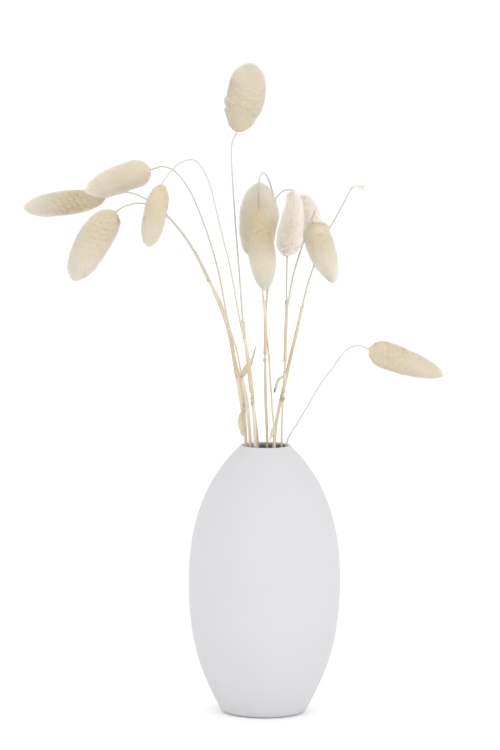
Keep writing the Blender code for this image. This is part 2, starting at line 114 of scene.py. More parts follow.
# Seed heads: husks, then hairs with how far they stand out as shares of the head's radius, how far below its end
# a hair is rooted, and whether it is bent. The long ones lie on top, and the short ones fill the fur below.
PALE_HEADS = ("upper_left", "top", "right_pale", "right_back")
COMMON_AREA = 3000  # the outline's area in a head of common size, in square millimetres
HUSK_LENGTH = 4.5
HUSK_RADIUS = 0.34
LONG_HAIRS = ((-0.03, 0.07), (3.0, 5.5), True)
SHORT_HAIRS = ((-0.09, 0.02), (2.0, 4.5), False)
HAIR_SPREAD = 1.3
BRISTLED = 5  # one husk in five has a bristle
BRISTLE_RADIUS = 0.04
BRISTLE_REACH = (1.2, 3.2)
# how far along a head its patch of painted shade reaches, as a share of the head's length
SHADE_PATCH_REACH = 0.18
REMNANT_SEED = 11

# Directions askew to the lines, hairs and husks: what lies square to both is the side of one
LINE_ASKEW = (0.2, 1.0, 0.1)
HAIR_ASKEW = (0.31, 0.17, 0.93)
HUSK_ASKEW = (0.2, 0.5, 0.84)

# Studio, in metres but for the floor, which is in millimetres
FLOOR_REACH = 30000.0
FLOOR_DROP = 0.2
CEILING_SHARE = 0.84
SOFTBOX_SIZE = (2.0, 1.6)
SOFTBOX_PLACE = (1.9, -1.8, 0.9)
SOFTBOX_AIM = (0.0, 0.0, 0.2)
CARD_SIZE = (1.2, 0.1)
CARD_PLACE = (0.0, -0.8, 0.06)
LIGHT_BOUNCES = 16

GOLDEN_ANGLE = math.radians(137.508)
MARKS = ("along", "tone", "age", "sunned")  # what the materials read at each point, beside the grain

Sprig = namedtuple("Sprig", "name route sheaths head")
Head = namedtuple("Head", "tip width fullest blunt bow tan browning ragged bleached", defaults=(0.0,))
Leaf = namedtuple("Leaf", "stem route half_widths dark_tip")

# Each route runs from the vase's mouth up to the base of the seed head. Sheaths are pairs of heights: the joint
# that a sheath grows from, or None where it starts inside the vase, and its loose lip. A head is widest nearer
# its base where fullest is low, and its ends are blunter where blunt is high. Bow is how far its axis keeps to
# the stem's own direction. Tan withers it all over. The shade patch is one browner patch of painted shade, where
# awns and parted fur cast shadow, as a strength and the share of the way to the tip. Ragged is how far single
# tufts stand out, and bleached is what the sun adds or leaves out.
SPRIGS = (
    Sprig(
        "far_left",
        ((-13.5, 3, 185), (-16.3, 4, 208.5), (-19.3, 4.5, 227), (-21.4, 5, 239.5), (-25.2, 6, 260),
         (-31.5, 9, 279.5), (-39.5, 12, 296.5), (-52, 16, 320), (-65, 18, 337), (-77, 18.5, 347.5),
         (-89, 18, 354.5), (-99.5, 16.5, 356.5), (-111, 15, 353)),
        ((None, 232), (232, 316)),
        Head((-167.2, 10, 345.5), 18.5, 1.0, 2.3, 1, 0.12, (1.1, 0.46), 0.25),
    ),
    Sprig(
        "upper_left",
        ((-10.3, -6, 185), (-12.9, -8, 216), (-15.6, -8.8, 228.5), (-18.3, -9.8, 241.5),
         (-20.3, -11, 251.5), (-25.9, -12.5, 269.5), (-33, -17, 305.5), (-41.5, -20, 334),
         (-52.5, -22, 360.5), (-62.5, -22, 373.5), (-71, -21, 377), (-79.5, -20, 374.5)),
        ((None, 234),),
        Head((-124, -22, 360), 21.5, 0.65, 2.3, 1, 0.0, (0.25, 0.4), 0.25, -0.15),
    ),
    Sprig(
        "lower_left",
        ((-13.5, -2, 185), (-14.8, -3, 209.5), (-17.3, -3.5, 228), (-20.9, -4, 240.5), (-24.9, -6, 261),
         (-31.5, -11, 283), (-40.5, -20, 301.5), (-52, -30, 324), (-65, -38, 342), (-75.5, -43, 351),
         (-85.5, -46, 354), (-94.5, -47.5, 352.5), (-101.8, -48.5, 348)),
        ((None, 211), (211, 300)),
        Head((-130, -56, 302), 24.5, 0.9, 2.5, 3, 0.0, (0.35, 0.35), 0.15),
    ),
    Sprig(
        "small_left",
        ((-7, -10, 185), (-8, -13, 204.5), (-11, -20, 237.5), (-14, -25, 256.5), (-17.5, -29, 270.5),
         (-24.6, -39, 309), (-31.9, -47, 339), (-38.5, -54, 366.5), (-43, -57, 377), (-48, -60, 383.5),
         (-53, -62, 384.5), (-58.5, -63.5, 382.5), (-63.5, -64.5, 378.5), (-67, -65, 374),
         (-70.5, -65, 368)),
        ((None, 218), (218, 262)),
        Head((-79.6, -62, 325.5), 16.5, 0.95, 2.7, 0.5, 0.17, (0.3, 0.4), 0.15),
    ),
    Sprig(
        "top",
        ((-5.6, 4, 185), (-7.5, 5, 203.5), (-10.9, 8, 226), (-12.6, 10, 241.5), (-16, 14, 266),
         (-18.8, 20, 300), (-21, 25, 323.5), (-23.5, 30, 356), (-25, 34, 382.5), (-24.2, 35, 391),
         (-21.4, 35.5, 397.5)),
        ((None, 216), (216, 268)),
        Head((-11.5, 38, 445), 29, 1.05, 2.3, 1, 0.12, (0.1, 0.3), 0.8, -0.3),
    ),
    Sprig(
        "centre_upper",
        ((1.1, 2, 185), (0.2, 2.5, 202), (-0.6, 3, 219), (-0.9, 3.6, 239.5), (-0.7, 4.4, 260),
         (-1, 5, 275), (-2, 5.4, 283), (-3.1, 6, 291.5), (-4.3, 6.6, 301.5), (-5.5, 7.5, 314)),
        ((243, 284),),
        Head((-5.4, 9, 365), 28.5, 0.85, 2.4, 1, 0.04, (0.7, 0.5), 0.3),
    ),
    Sprig(
        "centre_lower",
        ((6.2, -12, 185), (5.5, -10.5, 200), (4.4, -8.5, 210), (3.8, -5, 220), (2.8, -0.5, 230),
         (2.3, 4, 239.5), (1.4, 9, 249.5), (0, 13, 260.5), (-0.3, 15.5, 271), (0, 17.5, 280.5),
         (0.8, 19.5, 290.5), (2.2, 22.5, 308.5), (3.4, 24, 324), (4.5, 24, 341), (3, 19, 358.5),
         (0, 9, 367.5), (-3, 0, 372), (-5.5, -10, 369), (-6.2, -19, 360.5), (-6, -26, 348.5)),
        (),
        Head((-1, -30, 293.5), 20.5, 0.76, 2.3, 1, 0.1, (1.1, 0.3), 0.3),
    ),
    Sprig(
        "right_pale",
        ((11.1, 8, 185), (11.3, 10, 197.5), (11.6, 12.5, 209), (12.1, 15.5, 221), (12.9, 19, 234.5),
         (13.2, 23, 248), (13.3, 26, 258), (13.8, 30, 269.5), (13.9, 33, 279), (13.8, 37, 290),
         (14.2, 44, 310.5)),
        ((241, 281),),
        Head((20, 52, 356.5), 19.5, 0.6, 2.3, 1, 0.0, (0.0, 0.4), 0.3, 0.85),
    ),
    Sprig(
        "right_back",
        ((1.1, 12.5, 185), (0.3, 20, 213.5), (-0.6, 33, 246.5), (-0.5, 44, 272), (0.6, 51, 288.5),
         (1.3, 62, 313.5), (3, 70, 335), (6, 76, 348), (11.5, 80, 353.5), (16.5, 82, 354),
         (21.5, 83, 350.5)),
        ((300, 325),),
        Head((35.5, 85, 311), 19.5, 0.76, 2.3, 1, 0.0, (0.0, 0.4), 0.3, 0.8),
    ),
    Sprig(
        "right_front",
        ((11, -4, 185), (11.1, -4, 199.5), (11.4, -3, 211), (12, -1.2, 221.5), (12.7, 0.5, 231),
         (13.1, 2, 240), (13.3, 3.5, 250), (13.4, 4.5, 260.5), (13.5, 5.5, 272), (14.2, 6.3, 279),
         (15.3, 7.5, 285.5), (18, 10.3, 300.5), (23, 13, 317.5), (28, 12.5, 332.5), (31.5, 8, 342.5),
         (33, 1, 346), (32.5, -5, 343.5), (31.5, -8, 339)),
        ((217, 235),),
        Head((46, -11, 297.5), 20.5, 0.65, 2.3, 1, 0.0, (0.8, 0.3), 0.3, 0.1),
    ),
    Sprig(
        "bare_tip",
        ((6, 10, 185), (6.8, 12.5, 195), (8.8, 15.5, 207), (11.2, 19, 217), (13.5, 22, 227),
         (15.7, 25, 237), (18.1, 28, 247.5), (22.9, 34, 267.5), (27.4, 40, 288), (33, 45, 305),
         (40, 51, 323.5), (48, 56, 337.5), (54.5, 60, 349.5), (58, 62, 356), (61, 63, 358.5),
         (66.5, 64.5, 357.5)),
        ((None, 214), (214, 277)),
        None,
    ),
    Sprig(
        "far_right",
        ((14.4, -2.6, 185), (23.1, -8, 203.5), (29.6, -12, 215.5), (36.9, -16, 229), (45.8, -19, 241.5),
         (52, -22, 251), (57.5, -24, 255.5), (63.5, -26, 257), (69.5, -27, 254.5)),
        (),
        Head((120.5, -30, 237.5), 19.5, 0.55, 2.3, 1, 0.32, (0.3, 0.4), 0.25, 0.1),
    ),
)

# Dried leaf blades, from where each grows out of its stem to its tip
LEAVES = (
    Leaf(
        "upper_left",
        ((-16.1, -9, 233), (-13.6, -11.5, 238.5), (-11.1, -12.8, 243), (-9.1, -13.3, 247.5),
         (-7.9, -13.5, 251.5), (-7.3, -13.6, 254.5)),
        (0.8, 2.1, 2.3, 1.1, 0.5, 0.4), 0.6,
    ),
    Leaf(
        "lower_left",
        ((-15.7, -3.1, 209.5), (-17, -5.5, 203.5), (-17.3, -5.7, 198), (-15.3, -5.2, 191)),
        (0.9, 1.6, 1.9, 1.8, 1.3, 0.7), 0.3,
    ),
    Leaf(
        "right_front",
        ((12.6, -0.1, 233), (9, -3, 231), (6.8, -6, 226.5), (5.4, -8, 221.5)),
        (0.6, 1, 1.2, 1.2, 0.9, 0.5), 1.0,
    ),
    Leaf(
        "centre_lower",
        ((5.5, -10.5, 199), (4.9, -12.2, 196), (3.6, -13.2, 192.5), (2.2, -13.6, 189)),
        (0.6, 1.1, 1.3, 1.2, 0.9, 0.5), 0.0,
    ),
)

# Tufts and dents of the fur that the viewer sees in a head's outline: share of the way from base to tip, side
# (1 is the right-hand one for a viewer who sees the tip upward), length as a share of the head, and how far out
TUFTS = {
    "top": (
        (0.60, -1, 0.10, -1.6), (0.49, -1, 0.03, -1.8), (0.33, -1, 0.03, -2.4), (0.17, -1, 0.07, -1.7),
        (0.26, 1, 0.06, -1.6), (0.77, 1, 0.04, -0.9),
    ),
    "centre_upper": ((0.28, 1, 0.17, -4.0), (0.56, 1, 0.09, 0.9), (0.10, -1, 0.08, 1.6), (0.02, -1, 0.05, 2.4)),
    "centre_lower": ((0.38, -1, 0.15, -2.4), (0.62, -1, 0.06, 0.5)),
    "right_pale": ((0.93, -1, 0.08, 3.2), (0.56, -1, 0.10, -1.8), (0.05, 1, 0.10, -3.0)),
    "right_front": ((0.86, 1, 0.10, -2.2), (0.08, -1, 0.09, 2.0)),
    "upper_left": ((0.34, -1, 0.18, -1.8), (0.75, -1, 0.1, 0.8)),
    "lower_left": ((0.05, -1, 0.07, 1.6), (0.75, 1, 0.16, -1.0)),
    "far_left": ((0.25, 1, 0.1, -0.6), (0.6, -1, 0.1, -0.8)),
}


def colour_of(hex_value):
    """Linear colour with full alpha from an sRGB hex value."""
    parts = [int(hex_value[i : i + 2], 16) / 255 for i in (1, 3, 5)]
    linear = [c / 12.92 if c <= 0.04045 else ((c + 0.055) / 1.055) ** 2.4 for c in parts]
    return (*linear, 1.0)


def shaded(colour, share):
    """The same colour with a share of its brightness."""
    return (*(min(c * share, 1.0) for c in colour[:3]), 1.0)


class VaseSettings(bpy.types.PropertyGroup):
    """Sizes and colour of the vase."""

    height: FloatProperty(
        name="Height", description="From the foot to the top of the lip", default=185 * MM, unit="LENGTH"
    )
    belly_radius: FloatProperty(
        name="Belly radius", description="Radius at the widest place", default=52.2 * MM, unit="LENGTH"
    )
    belly_height: FloatProperty(
        name="Belly height", description="Height of the widest place", default=90 * MM, unit="LENGTH"
    )
    sides: IntProperty(name="Sides", description="Faces round the vase", default=96, min=24)
    colour: FloatVectorProperty(
        name="Colour",
        description="Fired body colour",
        subtype="COLOR",
        size=4,
        default=colour_of("#c5c5c7"),
        min=0,
        max=1,
    )


class StemSettings(bpy.types.PropertyGroup):
    """Sizes of the stems, their sheaths and joints."""

    low_radius: FloatProperty(
        name="Lower radius", description="Radius of the bare culm in the vase", default=0.75 * MM, unit="LENGTH"
    )
    high_radius: FloatProperty(
        name="Upper radius", description="Radius of the culm under the head", default=0.6 * MM, unit="LENGTH"
    )
    sheath_radius: FloatProperty(
        name="Sheath radius", description="Radius of the rolled leaf sheath", default=1.15 * MM, unit="LENGTH"
    )
    joint_radius: FloatProperty(
        name="Joint radius", description="Radius of a swollen joint", default=1.45 * MM, unit="LENGTH"
    )
    blade_thickness: FloatProperty(
        name="Blade thickness", description="Thickness of a dried leaf", default=0.3 * MM, unit="LENGTH"
    )


class HeadSettings(bpy.types.PropertyGroup):
    """How thick, long and dense the fur of the seed heads is."""

    long_hairs: FloatProperty(
        name="Long hairs", description="Bent top hairs on each square millimetre of the outline", default=1.25, min=0.2
    )
    short_hairs: FloatProperty(
        name="Short hairs", description="Straight lower hairs on each square millimetre", default=2.9, min=0.2
    )
    hair_radius: FloatProperty(
        name="Hair radius", description="Radius of a hair at its root", default=0.065 * MM, unit="LENGTH"
    )
    fur_depth: FloatProperty(
        name="Fur depth", description="Depth of the fur as a share of the head's radius", default=0.17, subtype="FACTOR"
    )
    spikelets: IntProperty(name="Spikelets", description="Spikelets on a head of common size", default=230, min=20)


class StageSettings(bpy.types.PropertyGroup):
    """Light and floor."""

    sky: FloatProperty(name="Sky", description="Strength of the even white light all round", default=1.42, min=0)
    key: FloatProperty(name="Key light", description="Power of the large soft lamp", default=6.0, unit="POWER")
    card: FloatProperty(name="Low card", description="Power that the low white card adds", default=0.35, unit="POWER")
    floor: FloatVectorProperty(
        name="Floor",
        description="Colour of the floor",
        subtype="COLOR",
        size=4,
        default=colour_of("#fcfcfc"),
        min=0,
        max=1,
    )


def add_node(tree, kind, links=(), values=(), **settings):
    """Adds one node with its own settings, the values of its sockets, and links from other nodes' outputs.

    Sockets go by name, or by place where names repeat. A Map Range turns what comes into 0 from the range 1 to 2
    into the range 3 to 4, and a colour Mix blends 6 and 7 by 0.
    """
    made = tree.nodes.new("ShaderNode" + kind)
    for name, value in settings.items():
        setattr(made, name, value)
    for socket, value in dict(values).items():
        made.inputs[socket].default_value = value
    for socket, source in dict(links).items():
        tree.links.new(source, made.inputs[socket])
    return made


def new_material(name, **values):
    """A material with one shader, whose sockets are given by name with _ for a blank."""
    made = bpy.data.materials.new(name)
    made.use_nodes = True
    shader = made.node_tree.nodes["Principled BSDF"]
    for socket, value in values.items():
        shader.inputs[socket.replace("_", " ")].default_value = value
    return made, made.node_tree, shader


def ceramic_material(colour):
    """Slip-cast stoneware fired without glaze: dead matt, with a very fine grit and hardly any cloudiness."""
    made, tree, shader = new_material("unglazed_white_stoneware", Roughness=0.82, IOR=1.5)
    shader.inputs["Specular IOR Level"].default_value = 0.35
    where = add_node(tree, "TexCoord").outputs["Object"]
    # clouds about 35 mm wide, from uneven drying of the cast
    clouds = add_node(tree, "TexNoise", {"Vector": where}, {"Scale": 28.0, "Detail": 3.0})
    tint = add_node(
        tree, "Mix", {0: clouds.outputs[0]}, {6: shaded(colour, 0.975), 7: shaded(colour, 1.02)}, data_type="RGBA"
    )
    # grit of about 0.6 mm, a little coarser than real so that it shows, and here and there a darker grain
    grit = add_node(tree, "TexNoise", {"Vector": where}, {"Scale": 1700.0, "Detail": 2.0})
    grains = add_node(tree, "MapRange", {0: grit.outputs[0]}, {1: 0.62, 2: 0.74, 3: 0.0, 4: 0.10})
    speckled = add_node(
        tree, "Mix", {0: grains.outputs[0], 6: tint.outputs[2]}, {7: colour_of("#a9a49a")}, data_type="RGBA"
    )
    tree.links.new(speckled.outputs[2], shader.inputs["Base Color"])
    bump = add_node(tree, "Bump", {"Height": grit.outputs[0]}, {"Strength": 0.25, "Distance": 0.06 * MM})
    tree.links.new(bump.outputs[0], shader.inputs["Normal"])
    return made


def grass_material(name, young, old, brown, ridges, bleached=None):
    """Air-dried grass: satin straw with fine ridges along the fibres, paler and darker along them.

    Young and old are the two colours that the fibres vary between, brown is where it has withered, and bleached,
    if any, is where the sun has taken the colour out.
    """
    made, tree, shader = new_material(name, Roughness=0.62, IOR=1.48)
    shader.inputs["Specular IOR Level"].default_value = 0.4
    grain = add_node(tree, "Attribute", attribute_name="grain").outputs["Vector"]
    # fibres about 0.2 mm apart and 12 mm long
    stretched = add_node(tree, "VectorMath", {0: grain}, {1: (5000.0, 5000.0, 80.0)}, operation="MULTIPLY")
    fibres = add_node(tree, "TexNoise", {"Vector": stretched.outputs[0]}, {"Scale": 1.0, "Detail": 2.0})
    # blotches about 14 mm long, from uneven drying
    drift = add_node(tree, "VectorMath", {0: grain}, {1: (300.0, 300.0, 70.0)}, operation="MULTIPLY")
    blotches = add_node(tree, "TexNoise", {"Vector": drift.outputs[0]}, {"Scale": 1.0, "Detail": 3.0})
    # older towards its lower end
    along = add_node(tree, "Attribute", attribute_name="along").outputs["Fac"]
    older = add_node(tree, "MapRange", {0: along}, {1: 0.45, 2: 0.95, 3: 0.3, 4: -0.3})
    ageing = add_node(tree, "Math", {0: blotches.outputs[0], 1: older.outputs[0]}, operation="ADD")
    spread = add_node(tree, "MapRange", {0: ageing.outputs[0]}, {1: 0.25, 2: 0.75})
    base = add_node(tree, "Mix", {0: spread.outputs[0]}, {6: colour_of(young), 7: colour_of(old)}, data_type="RGBA")
    if bleached:
        sunned = add_node(tree, "Attribute", attribute_name="sunned").outputs["Fac"]
        base = add_node(tree, "Mix", {0: sunned, 6: base.outputs[2]}, {7: colour_of(bleached)}, data_type="RGBA")
    streak = add_node(tree, "MapRange", {0: fibres.outputs[0]}, {1: 0.3, 2: 0.7, 3: 0.86, 4: 1.06})
    lined = add_node(
        tree, "Mix", {6: base.outputs[2], 7: streak.outputs[0]}, {0: 1.0}, data_type="RGBA", blend_type="MULTIPLY"
    )
    age = add_node(tree, "Attribute", attribute_name="age").outputs["Fac"]
    withered = add_node(tree, "Mix", {0: age, 6: lined.outputs[2]}, {7: colour_of(brown)}, data_type="RGBA")
    tree.links.new(withered.outputs[2], shader.inputs["Base Color"])
    bump = add_node(tree, "Bump", {"Height": fibres.outputs[0]}, {"Strength": ridges, "Distance": 0.15 * MM})
    tree.links.new(bump.outputs[0], shader.inputs["Normal"])
    return made


def fur_material(name, root, tip, brown):
    """Plant hair, dried and air-bleached: matt, warm where it grows out and ivory at its ends.

    The sun has bleached most the ends of the hairs and the head's own tip. A hair's shade varies a little from
    its neighbours', and the withered ones are browner, as are those in a patch of painted shade.
    """
    made, tree, shader = new_material(name, Roughness=0.9, IOR=1.5)
    shader.inputs["Specular IOR Level"].default_value = 0.2
    # light that enters the fur comes out again a few millimetres away, which makes it look soft
    shader.subsurface_method = "BURLEY"
    shader.inputs["Subsurface Weight"].default_value = 0.9
    shader.inputs["Subsurface Radius"].default_value = (1.0, 1.0, 1.0)
    shader.inputs["Subsurface Scale"].default_value = 4.5 * MM
    along = add_node(tree, "Attribute", attribute_name="along").outputs["Fac"]
    tone = add_node(tree, "Attribute", attribute_name="tone").outputs["Fac"]
    age = add_node(tree, "Attribute", attribute_name="age").outputs["Fac"]
    sunned = add_node(tree, "Attribute", attribute_name="sunned").outputs["Fac"]
    exposed = add_node(tree, "Math", {0: along, 1: sunned}, operation="ADD")
    bleached = add_node(tree, "MapRange", {0: exposed.outputs[0]}, {1: 0.3, 2: 1.1}, interpolation_type="SMOOTHSTEP")
    base = add_node(tree, "Mix", {0: bleached.outputs[0]}, {6: colour_of(root), 7: colour_of(tip)}, data_type="RGBA")
    # withering, and the painted shade of the patch, fade out towards the bleached ends
    faded = add_node(tree, "MapRange", {0: along}, {1: 0.2, 2: 1.1, 3: 1.0, 4: 0.35})
    withering_and_shade = add_node(tree, "Math", {0: age, 1: faded.outputs[0]}, operation="MULTIPLY")
    aged_and_shaded = add_node(tree, "Mix", {0: withering_and_shade.outputs[0], 6: base.outputs[2]}, {7: colour_of(brown)}, data_type="RGBA")
    shade = add_node(tree, "MapRange", {0: tone}, {3: 0.95, 4: 1.0})
    varied = add_node(
        tree, "Mix", {6: aged_and_shaded.outputs[2], 7: shade.outputs[0]}, {0: 1.0}, data_type="RGBA", blend_type="MULTIPLY"
    )
    tree.links.new(varied.outputs[2], shader.inputs["Base Color"])
    return made


def floor_material(colour):
    """A painted studio floor: even, pale and matt, with a faint roller texture."""
    made, tree, shader = new_material("matt_painted_floor", Roughness=0.9)
    where = add_node(tree, "TexCoord").outputs["Object"]
    # roller marks about 4 mm across
    marks = add_node(tree, "TexNoise", {"Vector": where}, {"Scale": 250.0, "Detail": 2.0})
    tint = add_node(tree, "Mix", {0: marks.outputs[0]}, {6: shaded(colour, 0.985), 7: colour}, data_type="RGBA")
    tree.links.new(tint.outputs[2], shader.inputs["Base Color"])
    return made


class Assembly:
    """Gathers one piece's points in millimetres, its faces, and what the materials read at each point."""

    def __init__(self):
        self.points, self.grain, self.faces, self.count = [], [], [], 0
        self.marks = {mark: [] for mark in MARKS}

    def add(self, points, faces, slot, grain=None, **marks):
        """Adds points and groups of faces among them, all of one material slot."""
        points = np.asarray(points, float)
        self.points.append(points)
        self.grain.append(points if grain is None else np.asarray(grain, float))
        for mark in MARKS:
            self.marks[mark].append(np.broadcast_to(np.asarray(marks.get(mark, 0.0), float), len(points)))
        for group in faces:
            self.faces.append((np.asarray(group, int) + self.count, slot))
        self.count += len(points)

    def to_object(self, name, materials):
        """Makes the mesh object, in metres."""
        mesh = bpy.data.meshes.new(name)
        points = np.concatenate(self.points) * MM
        corners = np.concatenate([group.ravel() for group, slot in self.faces])
        sizes = np.concatenate([np.full(len(group), group.shape[1]) for group, slot in self.faces])
        slots = np.concatenate([np.full(len(group), slot) for group, slot in self.faces])
        mesh.vertices.add(len(points))
        mesh.vertices.foreach_set("co", points.ravel())
        mesh.loops.add(len(corners))
        mesh.loops.foreach_set("vertex_index", corners)
        mesh.polygons.add(len(sizes))
        mesh.polygons.foreach_set("loop_start", np.concatenate([[0], np.cumsum(sizes)[:-1]]))
        mesh.polygons.foreach_set("material_index", slots)
        mesh.polygons.foreach_set("use_smooth", np.ones(len(sizes), bool))
        mesh.update(calc_edges=True)
        grain = mesh.attributes.new("grain", "FLOAT_VECTOR", "POINT")
        grain.data.foreach_set("vector", (np.concatenate(self.grain) * MM).ravel())
        for mark, values in self.marks.items():
            attribute = mesh.attributes.new(mark, "FLOAT", "POINT")
            attribute.data.foreach_set("value", np.concatenate(values))
        for material in materials:
            mesh.materials.append(material)
        obj = bpy.data.objects.new(name, mesh)
        bpy.context.scene.collection.objects.link(obj)
        return obj


def unit(vectors):
    """The same directions, each one long."""
    return vectors / np.linalg.norm(vectors, axis=-1, keepdims=True)


def smooth_curve(points, per_span=14):
    """Points on a smooth curve through the given ones, as a numpy array."""
    points = [Vector(point) for point in points]
    last = len(points) - 1
    fine = [points[0]]
    for i in range(last):
        start, end = points[i], points[i + 1]
        reach = (end - start).length / 3
        leave = (end - points[max(i - 1, 0)]).normalized() * reach
        arrive = (points[min(i + 2, last)] - start).normalized() * reach
        fine += interpolate_bezier(start, start + leave, end - arrive, end, per_span + 1)[1:]
    return np.array(fine)


class Line:
    """A curve that can be read at any distance from its start, with directions square to it that don't twist."""

    def __init__(self, points):
        self.points = points
        self.lengths = np.concatenate([[0.0], np.cumsum(np.linalg.norm(np.diff(points, axis=0), axis=1))])
        self.length = self.lengths[-1]
        self.ahead = unit(np.gradient(points, self.lengths, axis=0))
        # one direction square to the start is carried along, and only tilted as the curve bends
        side = np.cross(self.ahead[0], LINE_ASKEW)
        sides = []
        for ahead in self.ahead:
            side = side - ahead * (side @ ahead)
            side = side / np.linalg.norm(side)
            sides.append(side)
        self.side = np.array(sides)

    def read(self, values, distances):
        """Values given at the curve's points, read between them."""
        return np.stack([np.interp(distances, self.lengths, values[:, axis]) for axis in range(3)], axis=-1)

    def at(self, distances):
        """Centres, directions ahead, and two directions square to them. Past its ends it goes on straight."""
        distances = np.asarray(distances, float)
        beyond = distances - np.clip(distances, 0.0, self.length)
        ahead = unit(self.read(self.ahead, distances))
        centres = self.read(self.points, distances) + ahead * beyond[..., None]
        side = self.read(self.side, distances)
        side = unit(side - ahead * np.sum(side * ahead, axis=-1, keepdims=True))
        return centres, ahead, side, np.cross(ahead, side)

    def distance_at_height(self, height):
        """The distance at which the line first comes up to a height."""
        first = int(np.argmax(self.points[:, 2] >= height))
        low, high = self.points[first - 1, 2], self.points[first, 2]
        share = (height - low) / (high - low)
        return self.lengths[first - 1] + share * (self.lengths[first] - self.lengths[first - 1])

    def place(self, distances, angles, radii):
        """Points at a distance along the line, turned round it and off it."""
        centres, _, side, up = self.at(distances)
        out = np.cos(angles)[..., None] * side + np.sin(angles)[..., None] * up
        return centres + out * np.asarray(radii)[..., None]


def grid_faces(rows, columns):
    """Quads between rings of points, closed round each ring."""
    row, column = np.meshgrid(np.arange(rows - 1), np.arange(columns), indexing="ij")
    a = (row * columns + column).ravel()
    b = (row * columns + (column + 1) % columns).ravel()
    return np.stack([a, b, b + columns, a + columns], axis=1)


def cap_faces(first, columns, centre, turned):
    """Triangles from a ring of points to a centre."""
    a = first + np.arange(columns)
    b = first + (np.arange(columns) + 1) % columns
    return np.stack([b, a, np.full(columns, centre)] if turned else [a, b, np.full(columns, centre)], axis=1)


def tube_faces(rows, columns):
    """The faces of a closed skin of rings, whose two end points come after all the rings'."""
    centres = rows * columns
    return [
        grid_faces(rows, columns),
        cap_faces(0, columns, centres, True),
        cap_faces(centres - columns, columns, centres + 1, False),
    ]


def strip_faces(rows, columns):
    """The faces of a thin strip's skin, which goes out along one side and back along the other, and of its ends."""
    faces = [grid_faces(rows, columns)]
    across = np.arange(columns // 2 - 1)
    for row, turned in ((0, True), (rows - 1, False)):
        low = row * columns + across
        high = row * columns + columns - 1 - across
        quad = [low, low + 1, high - 1, high]
        faces.append(np.stack(quad[::-1] if turned else quad, axis=1))
    return faces


def smooth_table(share, values):
    """Reads a short table of evenly spaced values, rounded off between them."""
    steps, width = 81, 13
    fine = np.linspace(0.0, 1.0, steps)
    rough = np.interp(fine, np.linspace(0.0, 1.0, len(values)), values)
    padded = np.pad(rough, width // 2, mode="edge")
    return np.interp(share, fine, np.convolve(padded, np.full(width, 1 / width), mode="valid"))


def bezier_2d(start, handle_a, handle_b, end, steps):
    """Points on a flat curve, without its last one."""
    corners = [Vector((*corner, 0)) for corner in (start, handle_a, handle_b, end)]
    return [(p.x, p.y) for p in interpolate_bezier(*corners, steps + 1)][:-1]


def outer_wall(settings):
    """The outer wall from the foot's edge to the mouth, as (radius, height)."""
    height, belly_radius = settings.height / MM, settings.belly_radius / MM
    belly_height = settings.belly_height / MM
    foot = (FOOT_RADIUS, 0.0)
    beside_foot = (FOOT_RADIUS + FOOT_REACH, 0.0)
    skirt = (SKIRT_RADIUS, SKIRT_HEIGHT)
    below_skirt = (SKIRT_RADIUS - FOOT_REACH * SKIRT_SLOPE, SKIRT_HEIGHT - FOOT_REACH)
    above_skirt = (SKIRT_RADIUS + SKIRT_REACH * SKIRT_SLOPE, SKIRT_HEIGHT + SKIRT_REACH)
    belly = (belly_radius, belly_height)
    below_belly = (belly_radius, belly_height - BELLY_REACH_DOWN)
    above_belly = (belly_radius, belly_height + BELLY_REACH_UP)
    mouth = (MOUTH_RADIUS, height - LIP_THICKNESS / 2)
    below_mouth = (mouth[0] + SHOULDER_REACH * SHOULDER_SLOPE, mouth[1] - SHOULDER_REACH)
    rounding = bezier_2d(foot, beside_foot, below_skirt, skirt, ROUNDING_STEPS)
    lower = bezier_2d(skirt, above_skirt, below_belly, belly, WALL_STEPS)
    upper = bezier_2d(belly, above_belly, below_mouth, mouth, WALL_STEPS)
    return rounding + lower + upper + [mouth]


def vase_profile(settings):
    """The half section: foot, outer wall, round lip, inner wall and inner floor."""
    height = settings.height / MM
    outer = outer_wall(settings)
    lip_radius = LIP_THICKNESS / 2
    centre = (MOUTH_RADIUS - lip_radius, height - lip_radius)
    angles = [math.pi * i / LIP_STEPS for i in range(1, LIP_STEPS)]
    lip = [(centre[0] + lip_radius * math.cos(a), centre[1] + lip_radius * math.sin(a)) for a in angles]
    inner = []
    for radius, at_height in reversed(outer):
        if at_height > FLOOR_THICKNESS + WALL:
            share = min(max((height - at_height) / WALL_FADE, 0.0), 1.0)
            inner.append((radius - LIP_THICKNESS - (WALL - LIP_THICKNESS) * share, at_height))
    # the inner wall runs into the floor through a hollow corner
    corner = inner[-1][0]
    floor = [(corner - WALL * 0.8, FLOOR_THICKNESS + WALL * 0.4), (corner - 2 * WALL, FLOOR_THICKNESS)]
    return [(FOOT_RADIUS - FOOT_RING, 0.0)] + outer + lip + inner + floor


def make_vase(settings, material):
    """The vase as one closed skin, turned from its half section."""
    profile = np.array(vase_profile(settings))
    sides = settings.sides
    angles = 2 * math.pi * np.arange(sides) / sides
    radii, heights = profile[:, :1], profile[:, 1:]
    x, y = radii * np.cos(angles), radii * np.sin(angles)
    z = np.broadcast_to(heights, x.shape)
    rings = np.stack([x, y, z], axis=-1).reshape(-1, 3)
    build = Assembly()
    build.add(np.concatenate([rings, [(0, 0, 0), (0, 0, FLOOR_THICKNESS)]]), tube_faces(len(profile), sides), 0)
    return build.to_object("ceramic_vase", [material])


def head_direction(sprig):
    """The way in which the stem enters the seed head: mostly that to the tip, a little its own."""
    before, base, tip = (Vector(point) for point in (sprig.route[-2], sprig.route[-1], sprig.head.tip))
    return (sprig.head.bow * (base - before).normalized() + 3 * (tip - base).normalized()).normalized()


